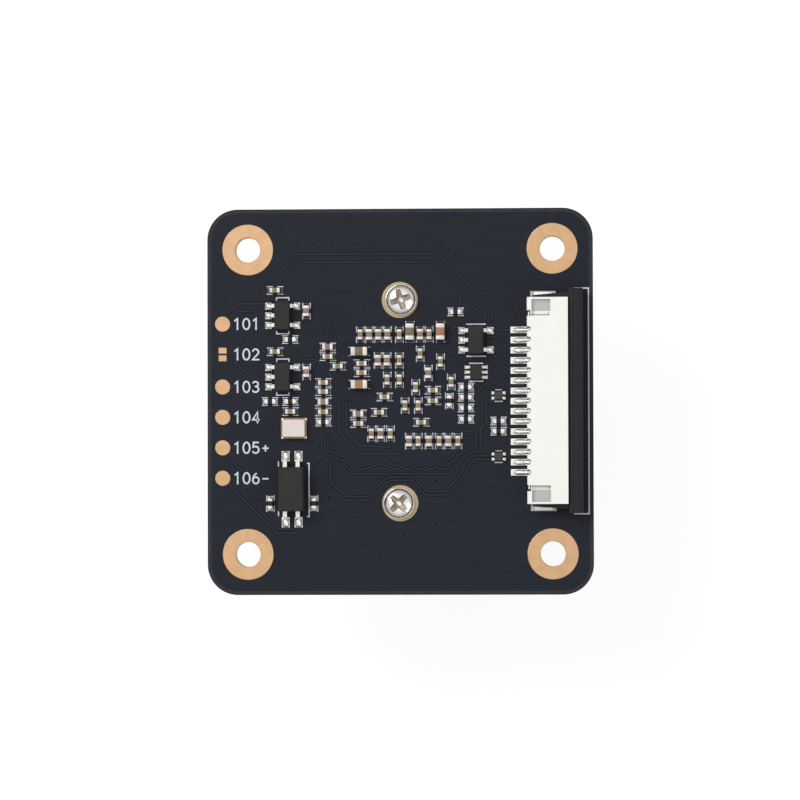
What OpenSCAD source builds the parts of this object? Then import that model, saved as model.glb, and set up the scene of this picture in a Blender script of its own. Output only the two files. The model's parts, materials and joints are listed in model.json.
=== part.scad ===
// Camera module: a square circuit board that carries an image sensor and a screw-in lens on its
// front, and a ribbon connector with the small parts on its back.
// Millimetres. The module stands on the front rim of its lens with the back of the board up.
// The origin is on the optical axis, level with the lens rim. +X points at the ribbon connector.

/* [Circuit board] */
// Side of the square board
board_side = 38; // [38:0.5:44]
// Thickness of the board
board_thick = 1.6; // [1:0.1:2]
// Radius of the board's corners
board_corner_r = 3; // [1:0.25:3.75]
// Pitch of the four mounting holes, along both sides
mount_pitch = 30; // [29.5:0.25:31.5]
// Diameter of a mounting hole
mount_hole_d = 2.5; // [2:0.1:3.2]
// Diameter of the bare gold ring round a mounting hole
mount_ring_d = 5; // [4:0.25:5.5]
// Thickness of the copper that stands on the board, with its plating
copper_thick = 0.05; // [0.03:0.01:0.1]

/* [Signal pads] */
// Pitch of the row of pads along the edge opposite the connector
signal_pitch = 3; // [2.2:0.1:3.2]
// Diameter of a round signal pad
signal_pad_d = 1.5; // [1:0.1:2]
// Distance from the board's edge to the middle of the pads
signal_edge_gap = 1.5; // [1.2:0.1:2]
// Gap between the two halves of the split pad
split_gap = 0.15; // [0.1:0.05:0.4]

/* [Ribbon connector] */
// Number of contacts
way_count = 15; // [9:1:15]
// Pitch of the contacts
way_pitch = 1; // [0.8:0.05:1]
// Distance from the board's edge to the outer face of the closed slider
connector_edge_gap = 1; // [0.6:0.1:1.2]
// Depth of the housing, from its contact side to the slider
housing_depth = 4; // [3.8:0.1:4.4]
// Height of the housing above the board
housing_height = 2.6; // [2.5:0.1:3.2]
// Length of the block beyond the last contact at each end of the housing
housing_end = 3.1; // [3:0.05:3.4]
// Depth of the slider's bar
slider_depth = 1.4; // [1:0.1:1.8]
// Length of the slider's bar beyond the housing at each end
slider_ear = 0.9; // [0.8:0.05:1.2]
// Travel of the slider from closed to open
slider_travel = 1.2; // [0.8:0.1:1.6]
// Running clearance round the slider's tongue and arms
slider_clear = 0.06; // [0.03:0.01:0.1]

/* [Lens holder] */
// Pitch of the two screws that hold the lens holder
holder_screw_pitch = 20; // [20:0.25:22]
// Side of the holder's square foot
holder_foot_side = 15.6; // [15:0.2:16]
// Height of the holder's foot
holder_foot_height = 5; // [4.6:0.1:6]
// Whole height of the holder, from the board to the end of its tube
holder_height = 13; // [11:0.25:13.5]
// Outer diameter of the holder's tube
holder_tube_d = 14.6; // [14:0.1:15]
// Side of the hollow in the foot that takes the sensor
sensor_hollow_side = 12; // [11:0.2:12.6]
// Depth of that hollow
sensor_hollow_depth = 2.6; // [2.2:0.1:3]
// Width of the ears that take the screws
ear_width = 5.2; // [4.4:0.1:6]

/* [Screws] */
// Thread diameter of the screws
screw_d = 2; // [1.6:0.1:2.2]
// Diameter of the screw head
screw_head_d = 3; // [2.8:0.1:3.4]
// Height of the screw head
screw_head_height = 1.1; // [0.8:0.1:1.4]
// Length of the screw under its head
screw_length = 5; // [4:0.25:5.25]
// Diameter of the bare ring under a screw head
screw_ring_d = 3.56; // [3.5:0.02:4]

/* [Lens] */
// Thread diameter of the lens barrel
thread_d = 12; // [11.6:0.1:12]
// Radial clearance of the barrel in the holder's tube
thread_clear = 0.08; // [0.05:0.01:0.1]
// Whole length of the barrel
lens_length = 16; // [15.5:0.25:18]
// Gap between the rear end of the barrel and the board
lens_rear_gap = 4.5; // [4.5:0.1:5]
// Diameter of the knurled head
head_d = 14; // [13.5:0.1:15]
// Length of the knurled head
head_length = 5.8; // [5:0.1:6]
// Number of grooves in the knurled head
groove_count = 30; // [18:1:36]

/* [Chips] */
// Length of a small capacitor or resistor
small_length = 1; // [0.9:0.05:1.1]
// Width of a small capacitor or resistor
small_width = 0.5; // [0.4:0.05:0.55]
// Height of a small capacitor
small_height = 0.5; // [0.3:0.05:0.7]
// Height of a resistor
resistor_height = 0.35; // [0.25:0.05:0.5]
// Length of a wide capacitor
wide_length = 1.05; // [0.95:0.05:1.15]
// Width of a wide capacitor
wide_width = 0.6; // [0.5:0.05:0.65]
// Height of a wide capacitor
wide_height = 0.6; // [0.4:0.05:0.8]
// Length of a large capacitor
large_length = 1.6; // [1.4:0.05:1.7]
// Width of a large capacitor
large_width = 0.85; // [0.7:0.05:0.9]
// Height of a large capacitor
large_height = 0.8; // [0.5:0.05:1]
// Length of the metal cap at each end of a chip
chip_cap = 0.28; // [0.2:0.02:0.3]

/* [Packages] */
// Width of a regulator's body, across its leads
regulator_width = 1.6; // [1.4:0.05:1.7]
// Length of a regulator's body, along its rows of leads
regulator_length = 2.9; // [2.7:0.05:3]
// Height of a regulator's body
regulator_height = 1.1; // [0.8:0.05:1.3]
// Width of the optocoupler's body
coupler_width = 2.6; // [2.3:0.1:2.8]
// Length of the optocoupler's body, between its leads
coupler_length = 4.4; // [4:0.1:4.6]
// Height of the optocoupler's body
coupler_height = 2; // [1.6:0.1:2.4]
// Length of the oscillator
oscillator_length = 2.5; // [2.3:0.1:2.7]
// Width of the oscillator
oscillator_width = 2; // [1.7:0.1:2.1]
// Height of the oscillator's base
oscillator_height = 0.5; // [0.4:0.05:0.8]

/* [Hidden] */
$fn = 64;

// Colours
mask_navy = [0.16, 0.17, 0.21];
gold = [0.9, 0.72, 0.5];
solder = [0.82, 0.82, 0.8];
cream = [0.96, 0.95, 0.92];
soft_black = [0.14, 0.14, 0.15];
ceramic_tan = [0.63, 0.53, 0.37];
ceramic_olive = [0.5, 0.47, 0.38];
ceramic_orange = [0.65, 0.49, 0.31];
ceramic_mauve = [0.6, 0.49, 0.43];
ceramic_brown = [0.5, 0.39, 0.33];

// Levels on the optical axis, counted up from the lens rim
board_z = lens_length + lens_rear_gap;
back_z = board_z + board_thick;
pad_z = back_z + copper_thick;

// Places of the ribbon connector along X, from the board's edge inwards, and of the small parts
// that stand beside the ends of its contacts
slider_x = board_side / 2 - connector_edge_gap;
bar_x = slider_x - slider_depth;
mouth_x = bar_x - slider_clear;
rear_x = mouth_x - housing_depth;
tail_length = 1.5;
tail_x = rear_x - tail_length;
beside_gap = 1.34;
beside_connector_x = tail_x - beside_gap;

// How far a cutting solid reaches past what it cuts
cut = 0.5;

// Sizes as [length or width, width or length, height]
small_chip = [small_length, small_width, small_height];
wide_chip = [wide_length, wide_width, wide_height];
large_chip = [large_length, large_width, large_height];
resistor_chip = [small_length, small_width, resistor_height];
regulator_size = [regulator_width, regulator_length, regulator_height];
coupler_size = [coupler_width, coupler_length, coupler_height];
oscillator_size = [oscillator_length, oscillator_width, oscillator_height];

// The component layout: [x, y, turn, kind], from the optical axis, with turn 0 along X.
CHIPS = [
    // round the regulators
    [-12.3, 11, 0, "olive"], [-9.2, 8.95, 90, "brown"], [-10.8, 6.15, 0, "resistor"],
    [-12.3, 4.95, 0, "olive"], [-9.2, 2.95, 90, "brown"],
    [-12.8, 0.05, 0, "resistor"], [-10.8, 0.05, 0, "resistor"], [-10.8, -0.95, 0, "tan"],
    // column left of the sensor
    [-7.1, 5.4, 0, "mauve"], [-7.1, 4.45, 0, "olive"], [-6.1, 3.5, 0, "olive"],
    [-7.55, 1.9, 0, "tan"], [-7.55, 1, 0, "tan"], [-7.55, 0, 0, "mauve"],
    [-7.55, -1, 0, "orange"], [-7.55, -2, 0, "resistor"],
    // long row above the sensor
    [-3.9, 6.6, 90, "orange"], [-3, 6.6, 90, "mauve"], [-2.1, 6.6, 90, "mauve"],
    [-1.2, 6.6, 90, "mauve"], [-0.05, 6.6, 90, "tan"], [1, 6.85, 90, "large_olive"],
    [2, 6.6, 90, "mauve"], [2.9, 6.6, 90, "tan"], [4, 6.85, 90, "large_brown"],
    [5.5, 8.8, 0, "resistor"],
    // short rows over the sensor
    [-4, 4.95, 0, "large_olive"], [-3.75, 3.75, 0, "tan"], [-3.75, 2.85, 0, "tan"],
    [-4, 1.7, 0, "large_brown"],
    [-2.15, 4.05, 90, "mauve"], [-1.25, 4.05, 90, "brown"], [-0.05, 4.05, 90, "orange"],
    [-1.25, 2.15, 90, "olive"], [-0.05, 2.15, 90, "tan"],
    [2, 4.7, 90, "tan"], [4, 3.9, 90, "olive"], [2.8, 2.8, 90, "mauve"],
    [5.05, 1.9, 90, "olive"], [1.55, 1.4, 90, "tan"], [3.25, 1.1, 0, "tan"],
    [3.25, 0.05, 0, "olive"], [4.85, 0.05, 90, "resistor"], [-1.5, 0.45, 0, "tan"],
    [0.5, -0.4, 90, "olive"], [1.8, -0.4, 90, "tan"], [-2.05, -1.05, 0, "tan"],
    [-4.1, -1.2, 0, "mauve"], [-4.1, -2.15, 0, "tan"], [2.1, -2.05, 0, "olive"],
    // lowest row
    [-2.8, -3.15, 90, "orange"], [-1.9, -3.15, 90, "mauve"], [-0.95, -3.15, 90, "tan"],
    [0.9, -3.9, 90, "mauve"], [1.8, -3.9, 90, "tan"], [2.85, -3.9, 90, "mauve"],
    [3.85, -3.9, 90, "tan"], [4.75, -3.9, 90, "brown"], [5.7, -3.9, 90, "orange"],
    // under the buffer
    [6.5, 1.4, 0, "resistor"], [6.5, 0.4, 0, "resistor"], [6.5, -0.65, 0, "resistor"],
    [6.5, -1.75, 0, "resistor"],
    // between the two line filters
    [beside_connector_x, -1.95, 0, "resistor"], [beside_connector_x, -2.95, 0, "resistor"],
    // beside the optocoupler
    [-12.8, -10, 90, "resistor"], [-8.5, -10, 90, "resistor"]
];
CAPACITOR_KINDS = ["tan", "olive", "orange", "mauve", "brown", "large_olive", "large_brown"];
RESISTOR_KINDS = ["resistor"];
REGULATORS = [[-11.55, 8.5], [-11.55, 2.45], [7.5, 6]];
LINE_FILTERS = [[beside_connector_x, 0.55], [beside_connector_x, -5.45]];
BUFFER = [7.5, 2.85];
COUPLER = [-10.65, -8.6];
OSCILLATOR = [-10.45, -2.6];

function chips_of(kinds) = [for (chip = CHIPS, kind = kinds) if (chip[3] == kind) chip];
function chip_size(kind) =
    kind == "resistor" ? resistor_chip :
    kind == "mauve" || kind == "brown" ? wide_chip :
    kind == "large_olive" || kind == "large_brown" ? large_chip : small_chip;

// Points of a circular arc from angle a to angle b
function arc(r, a, b, steps) = [for (i = [0:steps]) let (t = a + (b - a) * i / steps) r * [cos(t), sin(t)]];

module block(from, to) {
    translate(from) cube(to - from);
}

module rounded_rect(size_x, size_y, r) {
    square([size_x, size_y - 2 * r], center = true);
    square([size_x - 2 * r, size_y], center = true);
    for (side_x = [-1, 1], side_y = [-1, 1])
        translate([side_x * (size_x / 2 - r), side_y * (size_y / 2 - r)]) circle(r = r);
}

module ring(outer_d, inner_d, thick) {
    linear_extrude(thick) difference() {
        circle(d = outer_d);
        circle(d = inner_d);
    }
}

module at_mounting_holes() {
    for (side_x = [-1, 1], side_y = [-1, 1])
        translate([side_x * mount_pitch / 2, side_y * mount_pitch / 2]) children();
}

module at_screws() {
    for (side = [-1, 1]) translate([0, side * holder_screw_pitch / 2]) children();
}

// An outline in X and Z, drawn out along Y and centred on it
module slab_y(width) {
    translate([0, width / 2]) rotate([90, 0, 0]) linear_extrude(width) children();
}

// ---- Circuit board ----

screw_hole_d = screw_d + 0.2;

module circuit_board() {
    color(mask_navy) translate([0, 0, board_z]) linear_extrude(board_thick) difference() {
        rounded_rect(board_side, board_side, board_corner_r);
        at_mounting_holes() circle(d = mount_hole_d);
        at_screws() circle(d = screw_hole_d);
    }
}

// Bare gold rings round the mounting holes, on both faces
module mounting_rings() {
    color(gold) for (z = [back_z, board_z - copper_thick])
        translate([0, 0, z]) at_mounting_holes() ring(mount_ring_d, mount_hole_d, copper_thick);
}

module screw_rings() {
    color(gold) translate([0, 0, back_z]) at_screws() ring(screw_ring_d, screw_hole_d, copper_thick);
}

// A row of six: five round pads, and a split pad that is the second from the top.
// The first two stand a little apart from the rest.
signal_x = -board_side / 2 + signal_edge_gap;
signal_top = 2.5 * signal_pitch;
signal_offset = 0.2;
split_pad = [0.8, 0.6];

module signal_pads() {
    color(gold) translate([signal_x, 0, back_z]) linear_extrude(copper_thick) for (row = [0:5])
        translate([0, signal_top - row * signal_pitch + (row < 2 ? signal_offset : 0)])
            if (row == 1) split_pads();
            else circle(d = signal_pad_d);
}

module split_pads() {
    for (side = [-1, 1])
        translate([0, side * (split_pad[1] + split_gap) / 2]) square(split_pad, center = true);
}

// ---- Chips ----

// How far a pad reaches past the end of its chip, and how far under it
chip_pad_reach = 0.22;
chip_pad_inset = 0.3;

module at_chip(chip) {
    translate([chip[0], chip[1], pad_z]) rotate([0, 0, chip[2]]) children();
}

module chip_bodies(kind) {
    size = chip_size(kind);
    for (chip = chips_of([kind])) at_chip(chip)
        block([chip_cap - size[0] / 2, -size[1] / 2, 0], [size[0] / 2 - chip_cap, size[1] / 2, size[2]]);
}

module chip_caps(kinds) {
    for (chip = chips_of(kinds)) let (size = chip_size(chip[3])) at_chip(chip) for (side = [-1, 1])
        translate([side * (size[0] - chip_cap) / 2, 0, size[2] / 2])
            cube([chip_cap, size[1], size[2]], center = true);
}

module chip_pads() {
    for (chip = CHIPS) let (size = chip_size(chip[3]))
        translate([chip[0], chip[1]]) rotate(chip[2]) for (side = [-1, 1])
            translate([side * (size[0] / 2 + (chip_pad_reach - chip_pad_inset) / 2), 0])
                square([chip_pad_reach + chip_pad_inset, size[1]], center = true);
}

module capacitors_tan() { color(ceramic_tan) chip_bodies("tan"); }
module capacitors_olive() { color(ceramic_olive) chip_bodies("olive"); }
module capacitors_orange() { color(ceramic_orange) chip_bodies("orange"); }
module capacitors_mauve() { color(ceramic_mauve) chip_bodies("mauve"); }
module capacitors_brown() { color(ceramic_brown) chip_bodies("brown"); }
module capacitors_large_olive() { color(ceramic_olive) chip_bodies("large_olive"); }
module capacitors_large_brown() { color(ceramic_orange) chip_bodies("large_brown"); }
module capacitor_caps() { color(solder) chip_caps(CAPACITOR_KINDS); }
module resistors() { color(soft_black) chip_bodies("resistor"); }
module resistor_caps() { color(solder) chip_caps(RESISTOR_KINDS); }

// ---- Moulded packages with bent leads ----

// A moulded body that is widest at its parting line, standing on its underside at the origin
module moulded_body(size, draft) {
    intersection() {
        slab_y(size[1]) moulded_outline(size[0], size[2], draft);
        rotate([0, 0, 90]) slab_y(size[0]) moulded_outline(size[1], size[2], draft);
    }
}

module moulded_outline(width, height, draft) {
    polygon([
        [-width / 2 + draft, 0], [width / 2 - draft, 0], [width / 2, height / 2],
        [width / 2 - draft, height], [-width / 2 + draft, height], [-width / 2, height / 2]
    ]);
}

// A lead that leaves a body towards +X at shoulder height and bends down to a foot on the pad
module bent_lead(root, tip, shoulder, thick, width, foot) {
    slab_y(width) polygon([
        [root, shoulder - thick], [tip - foot - thick, shoulder - thick],
        [tip - foot - thick / 2, 0], [tip, 0], [tip, thick],
        [tip - foot + thick / 2, thick], [tip - foot, shoulder], [root, shoulder]
    ]);
}

package_lift = 0.1;
package_draft = 0.1;
lead_thick = 0.14;
lead_bury = 0.25;

regulator_span = 2.8;
regulator_pitch = 0.95;
regulator_lead_width = 0.4;
regulator_foot = 0.4;
regulator_pad = [0.6, 0.65];
regulator_pad_x = 1.42;

// Three leads on the left, the outer two on the right
module at_regulator_leads() {
    for (row = [-1, 0, 1]) translate([0, row * regulator_pitch]) rotate(180) children();
    for (row = [-1, 1]) translate([0, row * regulator_pitch]) children();
}

module regulator_leads(index) {
    color(solder) translate([REGULATORS[index][0], REGULATORS[index][1], pad_z]) at_regulator_leads()
        bent_lead(regulator_size[0] / 2 - lead_bury, regulator_span / 2, regulator_size[2] / 2
            + package_lift + lead_thick / 2, lead_thick, regulator_lead_width, regulator_foot);
}

module regulator_body(index) {
    color(soft_black) difference() {
        translate([REGULATORS[index][0], REGULATORS[index][1], pad_z + package_lift])
            moulded_body(regulator_size, package_draft);
        regulator_leads(index);
    }
}

module regulator_pads() {
    for (place = REGULATORS) translate(place) at_regulator_leads()
        translate([regulator_pad_x, 0]) square(regulator_pad, center = true);
}

module regulator_a_body() { regulator_body(0); }
module regulator_a_leads() { regulator_leads(0); }
module regulator_b_body() { regulator_body(1); }
module regulator_b_leads() { regulator_leads(1); }
module regulator_c_body() { regulator_body(2); }
module regulator_c_leads() { regulator_leads(2); }

buffer_size = [1.2, 1.5, 0.55];
buffer_span = 1.7;
buffer_pitch = 0.5;
buffer_lead_thick = 0.12;
buffer_lead_width = 0.22;
buffer_foot = 0.2;
buffer_pad = [0.55, 0.3];
buffer_pad_x = 0.85;

module at_buffer_leads() {
    for (turn = [0, 180], row = [-1, 0, 1])
        rotate(turn) translate([0, row * buffer_pitch]) children();
}

module buffer_leads() {
    color(solder) translate([BUFFER[0], BUFFER[1], pad_z]) at_buffer_leads()
        bent_lead(buffer_size[0] / 2 - lead_bury, buffer_span / 2, buffer_size[2] / 2
            + package_lift + buffer_lead_thick / 2, buffer_lead_thick, buffer_lead_width, buffer_foot);
}

module buffer_body() {
    color(soft_black) difference() {
        translate([BUFFER[0], BUFFER[1], pad_z + package_lift])
            moulded_body(buffer_size, package_draft / 2);
        buffer_leads();
    }
}

module buffer_pads() {
    translate(BUFFER) at_buffer_leads() translate([buffer_pad_x, 0]) square(buffer_pad, center = true);
}

coupler_span = 7;
coupler_pitch = 1.27;
coupler_lead_thick = 0.2;
coupler_lead_width = 0.42;
coupler_foot = 0.75;
coupler_pad = [1, 0.76];
coupler_pad_x = 3.25;

// Two leads at each end, which is along Y
module at_coupler_leads() {
    for (turn = [90, -90], side = [-1, 1])
        rotate(turn) translate([0, side * coupler_pitch / 2]) children();
}

module optocoupler_leads() {
    color(solder) translate([COUPLER[0], COUPLER[1], pad_z]) at_coupler_leads()
        bent_lead(coupler_size[1] / 2 - lead_bury, coupler_span / 2, coupler_size[2] / 2
            + package_lift + coupler_lead_thick / 2, coupler_lead_thick, coupler_lead_width, coupler_foot);
}

module optocoupler_body() {
    color(soft_black) difference() {
        translate([COUPLER[0], COUPLER[1], pad_z + package_lift])
            moulded_body(coupler_size, package_draft);
        optocoupler_leads();
    }
}

module coupler_pads() {
    translate(COUPLER) at_coupler_leads() translate([coupler_pad_x, 0]) square(coupler_pad, center = true);
}

// ---- Oscillator and line filters ----

oscillator_lid_rim = 0.14;
oscillator_lid_thick = 0.25;
castellation_r = 0.25;
oscillator_pad = [0.8, 0.7];

module oscillator_base() {
    color(gold) translate([OSCILLATOR[0], OSCILLATOR[1], pad_z]) linear_extrude(oscillator_size[2])
        difference() {
            square([oscillator_size[0], oscillator_size[1]], center = true);
            for (side_x = [-1, 1], side_y = [-1, 1])
                translate([side_x * oscillator_size[0] / 2, side_y * oscillator_size[1] / 2])
                    circle(r = castellation_r);
        }
}

module oscillator_lid() {
    color([0.76, 0.72, 0.7]) translate([OSCILLATOR[0], OSCILLATOR[1], pad_z + oscillator_size[2]])
        linear_extrude(oscillator_lid_thick)
            rounded_rect(oscillator_size[0] - 2 * oscillator_lid_rim,
                oscillator_size[1] - 2 * oscillator_lid_rim, 0.2);
}

module oscillator_pads() {
    for (side_x = [-1, 1], side_y = [-1, 1]) translate([
        OSCILLATOR[0] + side_x * (oscillator_size[0] - oscillator_pad[0]) / 2,
        OSCILLATOR[1] + side_y * (oscillator_size[1] - oscillator_pad[1]) / 2
    ]) square(oscillator_pad, center = true);
}

line_filter_size = [0.85, 0.8, 0.5];
line_filter_terminal = [0.16, 0.28];
line_filter_pad = [0.35, 0.3];
line_filter_pitch = 0.5;

module at_line_filter_terminals() {
    for (place = LINE_FILTERS, side_x = [-1, 1], side_y = [-1, 1]) translate([
        place[0] + side_x * (line_filter_size[0] + line_filter_terminal[0]) / 2,
        place[1] + side_y * line_filter_pitch / 2
    ]) children();
}

module line_filter_bodies() {
    color([0.29, 0.26, 0.25]) for (place = LINE_FILTERS)
        translate([place[0], place[1], pad_z + line_filter_size[2] / 2])
            cube(line_filter_size, center = true);
}

module line_filter_terminals() {
    color(solder) translate([0, 0, pad_z]) at_line_filter_terminals()
        translate([0, 0, line_filter_size[2] / 2])
            cube([line_filter_terminal[0], line_filter_terminal[1], line_filter_size[2]], center = true);
}

module line_filter_pads() {
    at_line_filter_terminals() square(line_filter_pad, center = true);
}

// ---- Ribbon connector ----
// Its contacts face the small parts, and the ribbon goes in from the board's edge, under the slider.

contacts_half = (way_count - 1) * way_pitch / 2;
housing_half = contacts_half + housing_end;
slot_margin = 1.3;
slot_floor = 0.45;
slot_wall = 0.9;
roof_thick = 0.75;
slot_half = contacts_half + slot_margin;
slot_roof = housing_height - roof_thick;
slot_x = rear_x + slot_wall;
notch_depth = 0.4;
notch_width = 0.52 * way_pitch;
contact_width = 0.32;
contact_thick = 0.2;
contact_groove = contact_width + 0.1;
beam_z = slot_floor - contact_thick / 2;
riser_top = beam_z + contact_thick;
groove_top = riser_top + 0.1;
groove_floor = beam_z - 0.1;
contact_end_x = mouth_x - 0.4;
contact_rise = 0.15;
contact_tip = 0.5;
tail_pad = [1.6, 0.62];
tail_pad_margin = 0.15;
groove_end_x = mouth_x - 0.3;

module at_contacts() {
    for (way = [0:way_count - 1]) translate([0, contacts_half - way * way_pitch]) children();
}

// The anchors: a plate let into the top of each end block, with a leg down to a foot on the board
anchor_thick = 0.2;
anchor_setback = 0.45;
anchor_length = 1.85;
anchor_depth = 0.45;
anchor_wall = 0.2;
plate_width = 1.15;
foot_margin = 0.15;
foot_extra = 0.5;
foot_reach = 0.7;
foot_play = 0.05;
window_slope = 0.45;
window_lip = 0.25;
anchor_x = rear_x + anchor_setback;
anchor_end_x = anchor_x + anchor_length;
anchor_top = housing_height - anchor_depth;
anchor_y = housing_half - anchor_wall;
plate_y = anchor_y - plate_width;
plate_z = anchor_top - anchor_thick;
window_y = plate_y - window_slope;
foot_x = anchor_x - foot_margin;
foot_end_x = anchor_end_x + foot_extra;
foot_y = housing_half + foot_reach;

module anchor() {
    block([anchor_x, plate_y, plate_z], [anchor_end_x, anchor_y, anchor_top]);
    block([anchor_x, anchor_y - anchor_thick, 0], [anchor_end_x, anchor_y, plate_z]);
    block([foot_x, anchor_y, 0], [foot_end_x, foot_y, anchor_thick]);
}

module ribbon_anchors() {
    color([0.7, 0.7, 0.7]) translate([0, 0, pad_z]) for (turn = [0, 1]) mirror([0, turn, 0]) anchor();
}

// Room for an anchor in the housing, open at the top over the plate
module anchor_pocket() {
    block([anchor_x, plate_y, plate_z], [anchor_end_x, anchor_y, housing_height + cut]);
    block([anchor_x, anchor_y - anchor_thick, -cut], [anchor_end_x, anchor_y, anchor_top]);
    block([foot_x, anchor_y - foot_play, -cut], [foot_end_x, housing_half + cut, anchor_thick]);
    // sloped lip beside the plate
    translate([anchor_x, 0]) rotate([90, 0, 90]) linear_extrude(anchor_end_x - anchor_x) polygon([
        [plate_y + foot_play, anchor_top], [plate_y + foot_play, housing_height + cut],
        [window_y, housing_height + cut], [window_y, housing_height - window_lip]
    ]);
}

// The end block's notch beside the first and last contacts, with a slim post across its mouth
end_notch_y = housing_half - 1.85;
end_notch_width = 0.6;
end_notch_depth = 0.35;
post_setback = 0.12;
post_thick = 0.12;
post_length = 0.4;

module end_notch() {
    translate([rear_x, end_notch_y]) difference() {
        block([-cut, 0, -cut], [end_notch_depth, end_notch_width, housing_height + cut]);
        block([post_setback, -cut, -2 * cut],
            [post_setback + post_thick, post_length, housing_height + 2 * cut]);
    }
}

top_chamfer = 0.15;

module ribbon_housing() {
    color(cream) translate([0, 0, pad_z]) difference() {
        translate([0, 0, -copper_thick]) linear_extrude(housing_height + copper_thick) difference() {
            translate([rear_x, -housing_half]) square([housing_depth, 2 * housing_half]);
            // rounded notches where the contacts come out
            at_contacts() translate([rear_x, 0]) {
                square([2 * notch_depth - notch_width, notch_width], center = true);
                translate([notch_depth - notch_width / 2, 0]) circle(d = notch_width);
            }
        }
        // slot for the ribbon and the slider's tongue, open towards the board's edge
        block([slot_x, -slot_half, slot_floor], [mouth_x + cut, slot_half, slot_roof]);
        // grooves for the contacts, through the back wall and along the slot's floor
        at_contacts() {
            block([rear_x, -contact_groove / 2, -cut], [slot_x + cut, contact_groove / 2, groove_top]);
            block([slot_x, -contact_groove / 2, groove_floor],
                [groove_end_x, contact_groove / 2, riser_top]);
        }
        for (turn = [0, 1]) mirror([0, turn, 0]) {
            anchor_pocket();
            end_notch();
        }
        // long chamfer along the top, over the contacts
        translate([rear_x, 0, housing_height]) rotate([0, 45, 0])
            cube([top_chamfer, 2 * housing_half + cut, top_chamfer], center = true);
    }
}

// A contact: foot on the pad, riser in the notch, beam on the slot's floor, raised tip for the ribbon
riser_x = rear_x + 0.1;
riser_end_x = rear_x + 0.3;

module ribbon_contacts() {
    color(solder) translate([0, 0, pad_z]) at_contacts() slab_y(contact_width)
        polygon([
            [tail_x, 0], [riser_end_x, 0], [riser_end_x, beam_z], [contact_end_x, beam_z],
            [contact_end_x, beam_z + contact_thick / 2],
            [contact_end_x - contact_tip, riser_top + contact_rise],
            [contact_end_x - 2 * contact_tip, riser_top], [riser_x, riser_top],
            [rear_x, contact_thick], [tail_x, contact_thick]
        ]);
}

module ribbon_pads() {
    at_contacts() translate([tail_x - tail_pad_margin, -tail_pad[1] / 2]) square(tail_pad);
    for (turn = [0, 1]) mirror([0, turn, 0])
        translate([foot_x, housing_half]) square([foot_end_x - foot_x, foot_y - housing_half]);
}

// The slider: a bar, a tongue that presses the ribbon on the contacts, and an arm round each end
ribbon_gap = 0.35;
tongue_bottom = riser_top + contact_rise + ribbon_gap;
tongue_top = slot_roof - slider_clear;
tongue_grip = 0.9;
tongue_x = mouth_x - slider_travel - tongue_grip;
tongue_half = slot_half - slider_clear;
bar_half = housing_half + slider_ear;
bar_bottom = tongue_bottom;
bar_top = housing_height - 0.25;
bar_chamfer = 0.15;
bar_slope = [0.35, 0.2];
finger_margin = 0.4;
finger_depth = 0.08;
block_bottom = 0.15;
arm_y = housing_half + slider_clear;
arm_root = 0.45;
arm_tip = 0.15;
arm_x = rear_x + 0.5;
arm_bottom = 0.6;
arm_height = 1.3;

module ribbon_slider() {
    color(soft_black) translate([0, 0, pad_z]) {
        difference() {
            slab_y(2 * bar_half) bar_outline();
            // way for the ribbon under the bar
            block([bar_x - cut, -slot_half, -cut], [slider_x + cut, slot_half, bar_bottom]);
            // finger groove along the top
            block([bar_x + finger_margin, -bar_half - cut, bar_top - finger_depth],
                [slider_x - finger_margin, bar_half + cut, bar_top + cut]);
        }
        block([tongue_x, -tongue_half, tongue_bottom], [bar_x, tongue_half, tongue_top]);
        for (turn = [0, 1]) mirror([0, turn, 0]) translate([0, 0, arm_bottom]) linear_extrude(arm_height)
            polygon([[arm_x, arm_y], [bar_x, arm_y], [bar_x, arm_y + arm_root], [arm_x, arm_y + arm_tip]]);
    }
}

module bar_outline() {
    polygon([
        [bar_x, block_bottom], [slider_x, block_bottom], [slider_x, bar_top - bar_chamfer],
        [slider_x - bar_chamfer, bar_top], [bar_x + bar_slope[0], bar_top], [bar_x, bar_top - bar_slope[1]]
    ]);
}

module component_pads() {
    color(solder) translate([0, 0, back_z]) linear_extrude(copper_thick) {
        chip_pads();
        regulator_pads();
        buffer_pads();
        coupler_pads();
        oscillator_pads();
        line_filter_pads();
        ribbon_pads();
    }
}

// ---- Sensor, filter and lens holder ----

package_size = [9.4, 8.4, 0.9];
package_well = [7.8, 6.2, 0.45];
die_size = [7, 5.4, 0.2];
window_size = [8.6, 7.4, 0.4];

// Children are drawn with Z counted from the board towards the lens
module on_front() {
    translate([0, 0, board_z]) mirror([0, 0, 1]) children();
}

module centred_block(size, from_z) {
    translate([0, 0, from_z + size[2] / 2]) cube(size, center = true);
}

module sensor_package() {
    color([0.2, 0.2, 0.22]) on_front() difference() {
        centred_block(package_size, 0);
        centred_block(package_well + [0, 0, cut], package_size[2] - package_well[2]);
    }
}

module sensor_die() {
    color([0.35, 0.3, 0.45]) on_front() centred_block(die_size, package_size[2] - package_well[2]);
}

module sensor_window() {
    color([0.75, 0.85, 0.9]) on_front() centred_block(window_size, package_size[2]);
}

infrared_size = [9, 9, 0.3];
infrared_window_d = 8;
shelf_thick = 0.9;
pocket_play = 0.1;
pocket_depth = 0.35;

module infrared_filter() {
    color([0.7, 0.85, 0.9]) on_front()
        centred_block(infrared_size, sensor_hollow_depth + pocket_depth - infrared_size[2]);
}

tube_bore_d = thread_d + 2 * thread_clear;
ear_thick = holder_foot_height - 0.6;
foot_corner_r = 1;
pilot_clear = 0.1;
pilot_depth = screw_length + 0.2 - board_thick;
rib_width = 1.2;
rib_root = holder_tube_d / 2 - 0.5;
rib_foot = holder_foot_side / 2 - 0.2;
rib_tip = holder_tube_d / 2 - 0.3;
rib_from = holder_foot_height - 0.1;
rib_to = holder_height - 1.5;

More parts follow.
